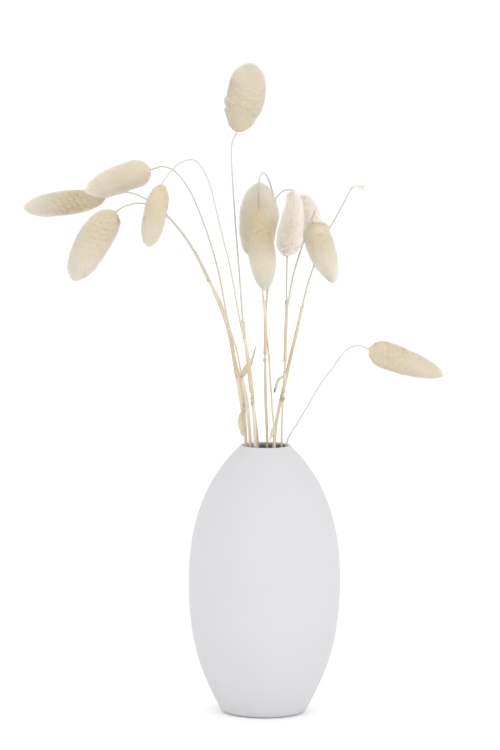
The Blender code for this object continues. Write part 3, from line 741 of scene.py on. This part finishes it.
def stem_line(sprig):
    """The stem's centre line, from its foot on the vase's floor to the end of the peg inside the seed head."""
    mouth, base = Vector(sprig.route[0]), Vector(sprig.route[-1])
    x, y = mouth.x * FOOT_SPREAD, mouth.y * FOOT_SPREAD
    foot = Vector((
        x * math.cos(FOOT_TWIST) - y * math.sin(FOOT_TWIST),
        x * math.sin(FOOT_TWIST) + y * math.cos(FOOT_TWIST),
        FLOOR_THICKNESS + FOOT_CLEARANCE,
    ))
    last = (base,)
    if sprig.head:
        way_in = head_direction(sprig)
        last = (base - way_in * NECK_STRAIGHT, base, base + way_in * PEG_LENGTH)
    return Line(smooth_curve([foot, foot.lerp(mouth, 0.5), *sprig.route[:-1], *last]))


def spaced(start, end, step, dense=()):
    """Distances from start to end about a step apart, and closer round the dense places."""
    reach, steps, least = 3.0, 16, 0.3
    plain = np.linspace(start, end, max(int((end - start) / step), 2) + 1)
    close = [place + np.linspace(-reach, reach, steps + 1) for place in dense]
    every = np.unique(np.round(np.concatenate([plain, *close]), 3))
    every = every[(every >= start) & (every <= end)]
    kept = [every[0]]
    for distance in every[1:-1]:
        if distance - kept[-1] > least and end - distance > least:
            kept.append(distance)
    return np.array([*kept, every[-1]])


def culm_age(name, line, distances, joints):
    """How withered the culm is at its joints, and in one of them at the neck below the head."""
    age = NECK_AGE.get(name, 0.0) * np.clip((distances - line.length + NECK_LENGTH) / NECK_FADE, 0.0, 1.0)
    for joint in joints:
        at_joint = np.exp(-(((distances - joint) / JOINT_AGE_REACH) ** 2))
        age = np.maximum(age, JOINT_AGE.get(name, USUAL_JOINT_AGE) * at_joint)
    return age


def add_culm(build, line, settings, joints, name):
    """The round stalk itself, a little ridged, with its swollen joints and both ends closed."""
    step, sides, ridge = 2.4, 12, 0.04
    distances = spaced(0.0, line.length, step, joints)
    share = distances / line.length
    radii = (settings.low_radius + (settings.high_radius - settings.low_radius) * share) / MM
    for joint in joints:
        off = distances - joint
        # a swelling about 2 mm long with a fine groove round it
        swell = np.exp(-((off / 1.15) ** 2)) - 0.35 * np.exp(-(((off + 0.1) / 0.28) ** 2))
        radii = radii + (settings.joint_radius / MM - radii) * np.maximum(swell, 0.0)
    places, angles = np.meshgrid(distances, 2 * math.pi * np.arange(sides) / sides, indexing="ij")
    grown = radii[:, None] * (1.0 + ridge * np.cos(angles * sides / 2))
    points = line.place(places, angles, grown)
    grain = np.stack([grown * np.cos(angles), grown * np.sin(angles), places], axis=-1)
    ends, _, _, _ = line.at([0.0, line.length])
    age = culm_age(name, line, distances, joints)
    bleached_from, bleached = BLEACHED_CULMS.get(name, (1.0, 0.0))
    sunned = bleached * np.clip((share - bleached_from) / BLEACHING_FADE, 0.0, 1.0)
    build.add(
        np.concatenate([points.reshape(-1, 3), ends]),
        tube_faces(len(distances), sides),
        0,
        np.concatenate([grain.reshape(-1, 3), [(0, 0, 0), (0, 0, line.length)]]),
        along=np.concatenate([np.repeat(share, sides), [0, 1]]),
        age=np.concatenate([np.repeat(age, sides), [0.3, 0.0]]),
        sunned=np.concatenate([np.repeat(sunned, sides), [0, 0]]),
    )


def add_sheath(build, line, start, end, settings, turn):
    """A leaf sheath rolled round the stalk, one edge over the other, that opens at its upper lip."""
    step, steps = 3.0, 14
    thickness, clearance, overlap = 0.16, 0.1, 0.17
    open_length, wrapped, unrolled = 7.0, 1.1, 0.22
    flare, slanted = 0.16, 0.9
    ribs, rib_height = 9, 0.03
    distances = spaced(start, end, step, (end,))
    opening = np.clip((distances - (end - open_length)) / open_length, 0.0, 1.0) ** 1.5
    turns = 2 * math.pi * (wrapped - unrolled * opening)
    share = np.linspace(0.0, 1.0, steps + 1)
    angles = turn + turns[:, None] * (share - 0.5)
    outer = settings.sheath_radius / MM - clearance + (flare * opening)[:, None] + overlap * share
    outer = outer * (1.0 + rib_height * np.cos(ribs * angles))
    slant = distances[:, None] + slanted * opening[:, None] * np.cos(angles - turn)
    # the very lip is half as thick
    inner = outer - thickness * (1.0 - 0.5 * (opening[:, None] > 0.98))
    both_angles = np.concatenate([angles, angles[:, ::-1]], axis=1)
    both_radii = np.concatenate([outer, inner[:, ::-1]], axis=1)
    both_distances = np.concatenate([slant, slant[:, ::-1]], axis=1)
    points = line.place(both_distances, both_angles, both_radii)
    grain = np.stack([both_radii * np.cos(both_angles), both_radii * np.sin(both_angles), both_distances], axis=-1)
    rows, columns = both_radii.shape
    dark_lip = 0.12 * np.clip((distances - (end - 2.0)) / 2.0, 0.0, 1.0)
    dark_foot = 0.15 * np.exp(-(((distances - start) / 5.0) ** 2))
    build.add(
        points.reshape(-1, 3),
        strip_faces(rows, columns),
        1,
        grain.reshape(-1, 3),
        along=np.repeat((distances - start) / (end - start), columns),
        age=np.repeat(dark_lip + dark_foot, columns),
    )


def add_blade(build, leaf, settings):
    """A dried leaf blade: folded along its midrib, with curled edges, ribs and a pointed tip."""
    line = Line(smooth_curve(leaf.route))
    rows, wide = 26, 11
    share = np.linspace(0.0, 1.0, rows)
    centres, ahead, _, _ = line.at(share * line.length)
    # it grows with its width across the view, and twists one way and back
    across = unit(np.array((1.0, 0.0, 0.0)) - ahead * ahead[:, :1])
    out = np.cross(across, ahead)
    twist = np.radians(18) * np.sin(2.2 * math.pi * share)
    side = across * np.cos(twist)[:, None] + out * np.sin(twist)[:, None]
    out = np.cross(side, ahead)
    # the last eighth narrows to the point
    half = smooth_table(share, leaf.half_widths) * np.clip((1.0 - share) / 0.12, 0.06, 1.0) ** 0.6
    place = np.linspace(-1.0, 1.0, wide)
    fold = half[:, None] * (0.35 * np.abs(place) ** 1.3 + 0.1 * np.abs(place) ** 4)
    ribs = 0.05 * np.cos(place * 4 * math.pi)
    over = side[:, None] * (half[:, None] * place)[..., None]
    middle = centres[:, None] + over + out[:, None] * (fold + ribs)[..., None]
    thick = settings.blade_thickness / MM * (0.5 + 0.5 * (1.0 - np.abs(place)))
    upper = middle + out[:, None] * (thick / 2)[:, None]
    lower = middle - out[:, None] * (thick / 2)[:, None]
    points = np.concatenate([upper, lower[:, ::-1]], axis=1)
    columns = 2 * wide
    both = half[:, None] * np.concatenate([place, place[::-1]])
    far = np.broadcast_to((share * line.length)[:, None], both.shape)
    age = leaf.dark_tip * np.clip((share - 0.55) / 0.4, 0.0, 1.0) ** 1.5
    build.add(
        points.reshape(-1, 3),
        strip_faces(rows, columns),
        2,
        np.stack([both, np.zeros(both.shape), far], axis=-1).reshape(-1, 3),
        along=np.repeat(share, columns),
        age=np.repeat(age, columns),
    )


def add_needles(build, start, middle, end, radius, slot, tone, age, sunned):
    """Hairs: three-sided closed needles from their starts to their ends, bent at their middles if there are any."""
    count = len(start)
    ahead = unit(end - start)
    side = unit(np.cross(ahead, HAIR_ASKEW))
    up = np.cross(ahead, side)
    around = [math.cos(a) * side + math.sin(a) * up for a in (0.0, 2 * math.pi / 3, 4 * math.pi / 3)]
    # each ring's centre, its share of the radius, and how far along the hair it counts
    rings = [(start, 1.0, 0.0)] if middle is None else [(start, 1.0, 0.0), (middle, 0.72, 0.5)]
    each = 3 * len(rings) + 1
    points = np.empty((count, each, 3))
    for ring, (centre, share, _) in enumerate(rings):
        for i, out in enumerate(around):
            points[:, 3 * ring + i] = centre + out * radius * share
    points[:, -1] = end
    first = (each * np.arange(count))[:, None]
    last = 3 * len(rings) - 3
    corners = [(last + i, last + (i + 1) % 3, each - 1) for i in range(3)] + [(2, 1, 0)]
    faces = [np.concatenate([first + np.array(corner) for corner in corners])]
    if middle is not None:
        quads = [(i, (i + 1) % 3, 3 + (i + 1) % 3, 3 + i) for i in range(3)]
        faces.append(np.concatenate([first + np.array(quad) for quad in quads]))
    along = np.tile([place for _, _, place in rings for _ in range(3)] + [1.0], count)
    marks = {"tone": tone, "age": age, "sunned": sunned}
    marks = {mark: np.repeat(values, each) for mark, values in marks.items()}
    build.add(points.reshape(-1, 3), faces, slot, along=along, **marks)


def add_spikelets(build, start, end, radius, slot, tone, age, sunned):
    """Husks: slim four-sided spindles, fullest at a third of their length."""
    count, each = len(start), 10
    ahead = unit(end - start)
    side = unit(np.cross(ahead, HUSK_ASKEW))
    up = np.cross(ahead, side)
    points = np.empty((count, each, 3))
    points[:, 0] = start
    for ring, (place, share) in enumerate(((0.33, 1.0), (0.7, 0.6))):
        centre = start + (end - start) * place
        for i in range(4):
            out = math.cos(math.pi * i / 2) * side + math.sin(math.pi * i / 2) * up
            points[:, 1 + 4 * ring + i] = centre + out * radius * share
    points[:, 9] = end
    first = (each * np.arange(count))[:, None]
    quads, triangles = [], []
    for i in range(4):
        after = (i + 1) % 4
        quads.append(first + np.array([1 + i, 1 + after, 5 + after, 5 + i]))
        triangles.append(first + np.array([0, 1 + after, 1 + i]))
        triangles.append(first + np.array([5 + i, 5 + after, 9]))
    along = np.tile((0.0,) + (0.33,) * 4 + (0.7,) * 4 + (1.0,), count)
    marks = {"tone": tone, "age": age, "sunned": sunned}
    marks = {mark: np.repeat(values, each) for mark, values in marks.items()}
    build.add(points.reshape(-1, 3), [np.concatenate(quads), np.concatenate(triangles)], slot, along=along, **marks)


def add_remnant(build, line):
    """What is left on the stem that lost its head: a few husks with thin hair on its last 9 mm."""
    draw = np.random.default_rng(REMNANT_SEED)
    husks, hairs, bleached = 14, 420, 0.3
    number = np.arange(husks)
    place = line.length - 9.0 * (1 - number / husks)
    angles = GOLDEN_ANGLE * number
    start = line.place(place, angles, np.full(husks, 0.35))
    end = line.place(place + 3.0, angles, np.full(husks, 2.1))
    tone = draw.random(husks)
    add_spikelets(build, start, end, 0.38, 3, tone, np.full(husks, 0.1), np.full(husks, bleached))
    root = line.length - 9.5 * draw.random(hairs)
    turn = 2 * math.pi * draw.random(hairs)
    start = line.place(root, turn, np.full(hairs, 0.3))
    reach = draw.uniform(1.6, 3.0, hairs)
    end = line.place(root + draw.uniform(2.0, 4.5, hairs), turn + draw.normal(0, 0.3, hairs), reach)
    middle = line.place(root + 0.9, turn, reach * 0.62)
    tone = draw.random(hairs)
    add_needles(build, start, middle, end, 0.055, 4, tone, np.full(hairs, 0.05), np.full(hairs, bleached))


def make_stem(sprig, settings, materials):
    """One stem: the culm, its leaf sheaths and blades, and on the bare one what is left of its head."""
    line = stem_line(sprig)
    build = Assembly()
    joints = [line.distance_at_height(joint) for joint, _ in sprig.sheaths if joint]
    add_culm(build, line, settings, joints, sprig.name)
    # each sheath's edge lies on another side
    turn = 1.7 * len(sprig.name)
    for joint, top in sprig.sheaths:
        low = line.distance_at_height(joint) + SHEATH_FOOT if joint else HIDDEN_SHEATH_FOOT
        high = line.distance_at_height(top)
        if any(abs(high - other) < 0.1 for other in joints):
            high -= SHEATH_GAP
        add_sheath(build, line, low, high, settings, turn)
        turn += 2.4
    for leaf in LEAVES:
        if leaf.stem == sprig.name:
            add_blade(build, leaf, settings)
    if not sprig.head:
        add_remnant(build, line)
    return build.to_object("grass_stem_" + sprig.name, materials)


def head_line(sprig):
    """The head's gently bent axis: it leaves the way that the stem comes in, and ends at the tip."""
    base, tip = Vector(sprig.route[-1]), Vector(sprig.head.tip)
    bend = base + head_direction(sprig) * (tip - base).length * 0.4
    return Line(np.array(interpolate_bezier(base, base.lerp(bend, 2 / 3), tip.lerp(bend, 2 / 3), tip, 41)))


def outline(head, share):
    """The radius that the fur reaches, as a share of the widest, from the base (0) to the tip (1)."""
    share = np.clip(share, 0.0, 1.0)
    curve = np.abs(2.0 * share**head.fullest - 1.0) ** head.blunt
    # a head that is fullest near its base would start too wide
    rounding = np.minimum(share / 0.15, 1.0) ** max(0.5 - head.fullest / 2, 0.0)
    return np.sqrt(np.maximum(1.0 - curve, 0.0)) * rounding


class HeadForm:
    """The surface that a head's fur reaches, measured along its meridian and by its area from base to tip."""

    def __init__(self, line, head, tufts):
        self.line = line
        self.tufts = tufts
        self.share = np.linspace(0.0, 1.0, 600)
        self.radius = head.width / 2 * outline(head, self.share)
        rise, run = np.diff(self.radius), np.diff(self.share * line.length)
        steps = np.hypot(rise, run)
        self.meridian = np.concatenate([[0.0], np.cumsum(steps)])
        between = (self.radius[1:] + self.radius[:-1]) / 2
        self.area = np.concatenate([[0.0], np.cumsum(2 * math.pi * between * steps)])
        middles = (self.meridian[1:] + self.meridian[:-1]) / 2
        self.slope_along = np.interp(self.meridian, middles, -rise / steps)
        self.slope_out = np.interp(self.meridian, middles, run / steps)

    def meridian_at(self, area):
        """How far up the meridian the surface below has an area."""
        return np.interp(area, self.area, self.meridian)

    def radius_at(self, share):
        """The radius at a share of the way to the tip."""
        return np.interp(share, self.share, self.radius)

    def tuft_at(self, share, angles):
        """How far the tufts stand out, and the dents go in, at a share of the length and an angle round the axis."""
        _, ahead, side, up = self.line.at(share * self.line.length)
        across = unit(np.cross((0.0, 1.0, 0.0), ahead))
        out = np.cos(angles)[..., None] * side + np.sin(angles)[..., None] * up
        rightness = np.sum(out * across, axis=-1)
        total = np.zeros(np.shape(share))
        for place, hand, length, height in self.tufts:
            along = np.exp(-(((share - place) / length) ** 2))
            total = total + height * along * np.clip(hand * rightness, 0.0, 1.0) ** 1.5
        return total

    def place(self, meridian, angles, proud):
        """Points that stand proud of the surface by a distance, and their shares of the way to the tip."""
        # what would lie past either end is turned back
        meridian = np.abs(meridian)
        meridian = self.meridian[-1] - np.abs(self.meridian[-1] - meridian)
        share = np.interp(meridian, self.meridian, self.share)
        distance = share * self.line.length + proud * np.interp(meridian, self.meridian, self.slope_along)
        radius = self.radius_at(share) + proud * np.interp(meridian, self.meridian, self.slope_out)
        radius = radius + self.tuft_at(share, angles)
        return self.line.place(distance, angles, np.maximum(radius, 0.0)), distance / self.line.length


def base_age(share):
    """How withered the fur is round the stem, where it is shortest."""
    return 0.4 * np.exp(-((share / 0.12) ** 2))


def add_core(build, form, depth):
    """The closed body that the husks grow from, everywhere about as deep in the fur."""
    rows, sides = 24, 18
    bumps, bump_height, bump_twist = 5, 0.07, 1.2
    neck_distance, neck_radius, end_bulge = 0.4, 1.25, 0.5
    wanted = np.linspace(0.0, form.meridian[-1], 400)
    share = np.interp(wanted, form.meridian, form.share)
    # the fur is short round the stem
    depth = depth * (0.35 + 0.65 * np.clip(share / 0.25, 0.0, 1.0))
    distance = share * form.line.length - depth * np.interp(wanted, form.meridian, form.slope_along)
    radius = form.radius_at(share) - depth * np.interp(wanted, form.meridian, form.slope_out)
    # where it would be thinner than a stem, it ends
    kept = radius > 0.6
    order = np.argsort(distance[kept])
    # a neck joins it to the stem
    distance = np.concatenate([[neck_distance], distance[kept][order]])
    radius = np.concatenate([[neck_radius], radius[kept][order]])
    place = np.linspace(distance[0], distance[-1], rows)
    radii = np.interp(place, distance, radius)
    places, angles = np.meshgrid(place, 2 * math.pi * np.arange(sides) / sides, indexing="ij")
    share = places / form.line.length
    bumpy = radii[:, None] * (1.0 + bump_height * np.sin(angles * bumps + places * bump_twist))
    points = form.line.place(places, angles, np.maximum(bumpy + form.tuft_at(share, angles), 0.5))
    ends, _, _, _ = form.line.at([place[0] - end_bulge, place[-1] + end_bulge])
    age = base_age(np.concatenate([share.ravel(), [0.0, 1.0]]))
    points = np.concatenate([points.reshape(-1, 3), ends])
    build.add(points, tube_faces(rows, sides), 0, along=0.2, tone=0.4, sunned=0.2, age=age)
    return place, radii


def make_head(sprig, settings, materials):
    """A core, husks all round it in a spiral, soft hair from every husk, and a few long bristles."""
    line = head_line(sprig)
    head = sprig.head
    reach, length = head.width / 2, line.length
    form = HeadForm(line, head, TUFTS.get(sprig.name, ()))
    area = form.area[-1]
    draw = np.random.default_rng(sum(map(ord, sprig.name)))
    build = Assembly()
    core_place, core_radii = add_core(build, form, settings.fur_depth * reach)

    husks = int(settings.spikelets * area / COMMON_AREA)
    gap = math.sqrt(area / husks)
    number = np.arange(husks)
    row = form.meridian_at((number + 0.5) / husks * area)
    turn = GOLDEN_ANGLE * number
    # the hairs of a husk stand out together, its tip only in part
    tuft = head.ragged * draw.normal(0.0, 0.45, husks)
    husk_tip, apex = form.place(row, turn, -0.9 * settings.fur_depth * reach + 0.3 * tuft)
    root = np.clip(apex * length - HUSK_LENGTH, core_place[0], core_place[-1])
    husk_root = line.place(root, turn, 0.8 * np.interp(root, core_place, core_radii))
    # the patch of painted shade, browner where awns and parted fur cast shadow, faces the viewer
    facing = -unit(husk_tip - line.at(apex * length)[0])[:, 1]
    strength, place = head.browning
    zone = np.exp(-(((apex - place) / SHADE_PATCH_REACH) ** 2)) * np.clip(facing + 0.1, 0.0, 1.0)
    fresh_base = base_age(apex) * (1.0 - head.bleached)
    # withering all over and round the stem, with the painted shade of the patch added on top
    wither_and_shade = head.tan + fresh_base + strength * zone * draw.uniform(0.6, 1.0, husks)
    wither_and_shade = np.clip(wither_and_shade, 0.0, 1.0)
    # the sun reaches the upper part of a head best
    sunned = head.bleached + 0.5 * np.clip((apex - 0.25) / 0.7, 0.0, 1.0)
    add_spikelets(build, husk_root, husk_tip, HUSK_RADIUS, 0, draw.random(husks), wither_and_shade, sunned)

    for density, (low, high), lean, bent in (
        (settings.long_hairs, *LONG_HAIRS),
        (settings.short_hairs, *SHORT_HAIRS),
    ):
        owner = np.repeat(number, int(density * area / husks))
        count = len(owner)
        # the ends spread a little farther than to the next husk, so that the fur closes
        ends_row = row[owner] + draw.normal(0.0, HAIR_SPREAD * gap, count)
        around = np.maximum(form.radius_at(np.interp(ends_row, form.meridian, form.share)), 1.5)
        end_turn = turn[owner] + draw.normal(0.0, HAIR_SPREAD * gap, count) / around
        end, far = form.place(ends_row, end_turn, tuft[owner] + draw.uniform(low, high, count) * reach)
        root = np.clip(far * length - draw.uniform(*lean, count), core_place[0], core_place[-1])
        root_turn = turn[owner] + 0.75 * (end_turn - turn[owner])
        deep = np.interp(root, core_place, core_radii) * draw.uniform(0.85, 1.0, count)
        start = line.place(root, root_turn, deep)
        # a bent hair bows outward near its middle
        out = line.place(far * length, root_turn, 0.9 * form.radius_at(np.minimum(far, 1.0)))
        middle = start + 0.4 * (end - start) + 0.18 * (out - (start + end) / 2) if bent else None
        # the hairs of a husk are nearly of one tone
        tone = np.clip(0.5 + draw.normal(0.0, 0.15, husks)[owner] + draw.normal(0.0, 0.2, count), 0.0, 1.0)
        add_needles(build, start, middle, end, settings.hair_radius / MM, 1, tone, wither_and_shade[owner], sunned[owner])

    bristles = draw.choice(husks, husks // BRISTLED, replace=False)
    count = len(bristles)
    proud = draw.uniform(*BRISTLE_REACH, count)
    end, _ = form.place(row[bristles] + 1.2 * proud, turn[bristles] + draw.normal(0.0, 0.1, count), proud)
    tone, fresh = draw.random(count), np.full(count, 0.1)
    add_needles(build, husk_tip[bristles], None, end, BRISTLE_RADIUS, 1, tone, fresh, sunned[bristles])
    return build.to_object("seed_head_" + sprig.name, materials)


def add_area_light(name, size, power, place, rotation):
    """An even, rectangular studio light, in metres."""
    data = bpy.data.lights.new(name, "AREA")
    data.shape = "RECTANGLE"
    data.size, data.size_y = size
    data.energy = power
    light = bpy.data.objects.new(name, data)
    light.location = place
    light.rotation_euler = rotation
    bpy.context.scene.collection.objects.link(light)
    return light


class DRYGRASS_OT_vase(bpy.types.Operator):
    """Turn the ceramic vase"""

    bl_idname = "drygrass.vase"
    bl_label = "Make Vase"

    def execute(self, context):
        settings = context.scene.drygrass_vase
        vase = make_vase(settings, ceramic_material(tuple(settings.colour)))
        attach(vase, "root")
        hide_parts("vase")
        return {"FINISHED"}


class DRYGRASS_OT_stems(bpy.types.Operator):
    """Grow the grass stems with their sheaths, joints and leaves"""

    bl_idname = "drygrass.stems"
    bl_label = "Grow Stems"

    def execute(self, context):
        settings = context.scene.drygrass_stems
        materials = [
            # culms: thin, hard and faintly green-grey, drying to straw
            grass_material("dried_grass_culm", "#c4c3b9", "#d0c0a4", "#8a6a42", 0.5, "#cfcdc9"),
            # sheaths: papery and yellower, with coarser veins
            grass_material("dried_leaf_sheath", "#d9cdbb", "#cbbb9c", "#94703f", 0.8),
            # blades: thin, beige, almost black where the tip has withered
            grass_material("dried_leaf_blade", "#d9d2c0", "#c9bf9f", "#4a3420", 0.8),
            # husks left on the stem that has lost its head
            fur_material("straw_husk", "#b3b1aa", "#bcbbb7", "#a08a68"),
            # the little hair left there, bleached pale
            fur_material("bleached_plant_hair_thin", "#bdbcb8", "#c6c6c4", "#a98f68"),
        ]
        for sprig in SPRIGS:
            stem = make_stem(sprig, settings, materials)
            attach(stem, "root")
            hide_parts("stem_" + sprig.name)
        return {"FINISHED"}


class DRYGRASS_OT_heads(bpy.types.Operator):
    """Grow the furry seed heads"""

    bl_idname = "drygrass.heads"
    bl_label = "Grow Seed Heads"

    def execute(self, context):
        settings = context.scene.drygrass_heads
        # the last colour of each is the brown of withered fur, and also of the painted shade in one patch of a head
        # husks are stiff and tan, and show only between the hairs
        husk = fur_material("dry_husk", "#bbb19c", "#bdb9b2", "#937a54")
        # heads that ripened longer: warmer near the core
        warm = fur_material("ripe_plant_hair", "#bfb49d", "#bfbfbc", "#977f5a")
        # heads bleached by the sun: close to ivory
        pale = fur_material("bleached_plant_hair", "#bfb7aa", "#cecac5", "#9c8766")
        for sprig in SPRIGS:
            if sprig.head:
                is_pale = sprig.name in PALE_HEADS
                head = make_head(sprig, settings, [husk, pale if is_pale else warm])
                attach(head, "root")
                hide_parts("head_" + sprig.name)
        return {"FINISHED"}


class DRYGRASS_OT_stage(bpy.types.Operator):
    """Set up the floor, the light and the camera"""

    bl_idname = "drygrass.stage"
    bl_label = "Set Stage"

    def execute(self, context):
        settings = context.scene.drygrass_stage
        scene = context.scene
        build = Assembly()
        corners = [(x * FLOOR_REACH, y * FLOOR_REACH, -FLOOR_DROP) for x, y in ((-1, -1), (1, -1), (1, 1), (-1, 1))]
        build.add(corners, [[(0, 1, 2, 3)]], 0)
        build.to_object("studio_floor", [floor_material(tuple(settings.floor))])

        world = bpy.data.worlds.new("even_white_studio")
        world.use_nodes = True
        sky = world.node_tree.nodes["Background"]
        sky.inputs["Color"].default_value = (1.0, 1.0, 1.0, 1.0)
        # white walls, and a ceiling a little dimmer than they are
        direction = add_node(world.node_tree, "TexCoord").outputs["Generated"]
        height = add_node(world.node_tree, "SeparateXYZ", {0: direction}).outputs["Z"]
        ends = {1: 0.0, 2: 1.0, 3: settings.sky, 4: CEILING_SHARE * settings.sky}
        strength = add_node(world.node_tree, "MapRange", {0: height}, ends)
        world.node_tree.links.new(strength.outputs[0], sky.inputs["Strength"])
        scene.world = world

        aim = (Vector(SOFTBOX_AIM) - Vector(SOFTBOX_PLACE)).to_track_quat("-Z", "Y").to_euler()
        add_area_light("large_softbox", SOFTBOX_SIZE, settings.key, SOFTBOX_PLACE, aim)
        # low in front of the vase, and turned to it
        card = add_area_light("low_white_card", CARD_SIZE, settings.card, CARD_PLACE, (math.pi / 2, 0.0, 0.0))
        card.visible_camera = False

        camera = bpy.data.objects.new("camera", bpy.data.cameras.new("camera"))
        camera.data.lens = CAMERA_LENS
        camera.data.clip_end = CAMERA_RANGE
        level = Euler((math.pi / 2 - CAMERA_PITCH, 0, 0)).to_matrix()
        turned = level @ Matrix.Rotation(CAMERA_ROLL, 3, "Z")
        camera.matrix_world = Matrix.Translation(CAMERA_PLACE) @ turned.to_4x4()
        scene.collection.objects.link(camera)
        scene.camera = camera
        scene.view_settings.view_transform = "Standard"
        # light has to find its way out of the deep fur
        scene.cycles.max_bounces = LIGHT_BOUNCES
        scene.cycles.diffuse_bounces = LIGHT_BOUNCES
        return {"FINISHED"}


class DRYGRASS_PT_panel(bpy.types.Panel):
    """Lists the vase, stems, heads and stage with their settings"""

    bl_idname = "DRYGRASS_PT_panel"
    bl_label = "Dried Grass"
    bl_space_type = "VIEW_3D"
    bl_region_type = "UI"
    bl_category = "Dried Grass"

    def draw(self, context):
        groups = (
            ("drygrass_vase", VaseSettings, "drygrass.vase"),
            ("drygrass_stems", StemSettings, "drygrass.stems"),
            ("drygrass_heads", HeadSettings, "drygrass.heads"),
            ("drygrass_stage", StageSettings, "drygrass.stage"),
        )
        for name, group, operator in groups:
            box = self.layout.box()
            for setting in group.__annotations__:
                box.prop(getattr(context.scene, name), setting)
            box.operator(operator)


CLASSES = (
    VaseSettings,
    StemSettings,
    HeadSettings,
    StageSettings,
    DRYGRASS_OT_vase,
    DRYGRASS_OT_stems,
    DRYGRASS_OT_heads,
    DRYGRASS_OT_stage,
    DRYGRASS_PT_panel,
)


def register():
    """Registers the classes, and gives the scene their settings"""
    for cls in CLASSES:
        bpy.utils.register_class(cls)
    bpy.types.Scene.drygrass_vase = PointerProperty(type=VaseSettings)
    bpy.types.Scene.drygrass_stems = PointerProperty(type=StemSettings)
    bpy.types.Scene.drygrass_heads = PointerProperty(type=HeadSettings)
    bpy.types.Scene.drygrass_stage = PointerProperty(type=StageSettings)


def unregister():
    """Takes back what register has added"""
    del bpy.types.Scene.drygrass_stage
    del bpy.types.Scene.drygrass_heads
    del bpy.types.Scene.drygrass_stems
    del bpy.types.Scene.drygrass_vase
    for cls in reversed(CLASSES):
        bpy.utils.unregister_class(cls)


def main():
    """Builds the whole scene"""
    register()
    bpy.ops.drygrass.vase()
    bpy.ops.drygrass.stems()
    bpy.ops.drygrass.heads()
    bpy.ops.drygrass.stage()


if __name__ == "__main__":
    main()
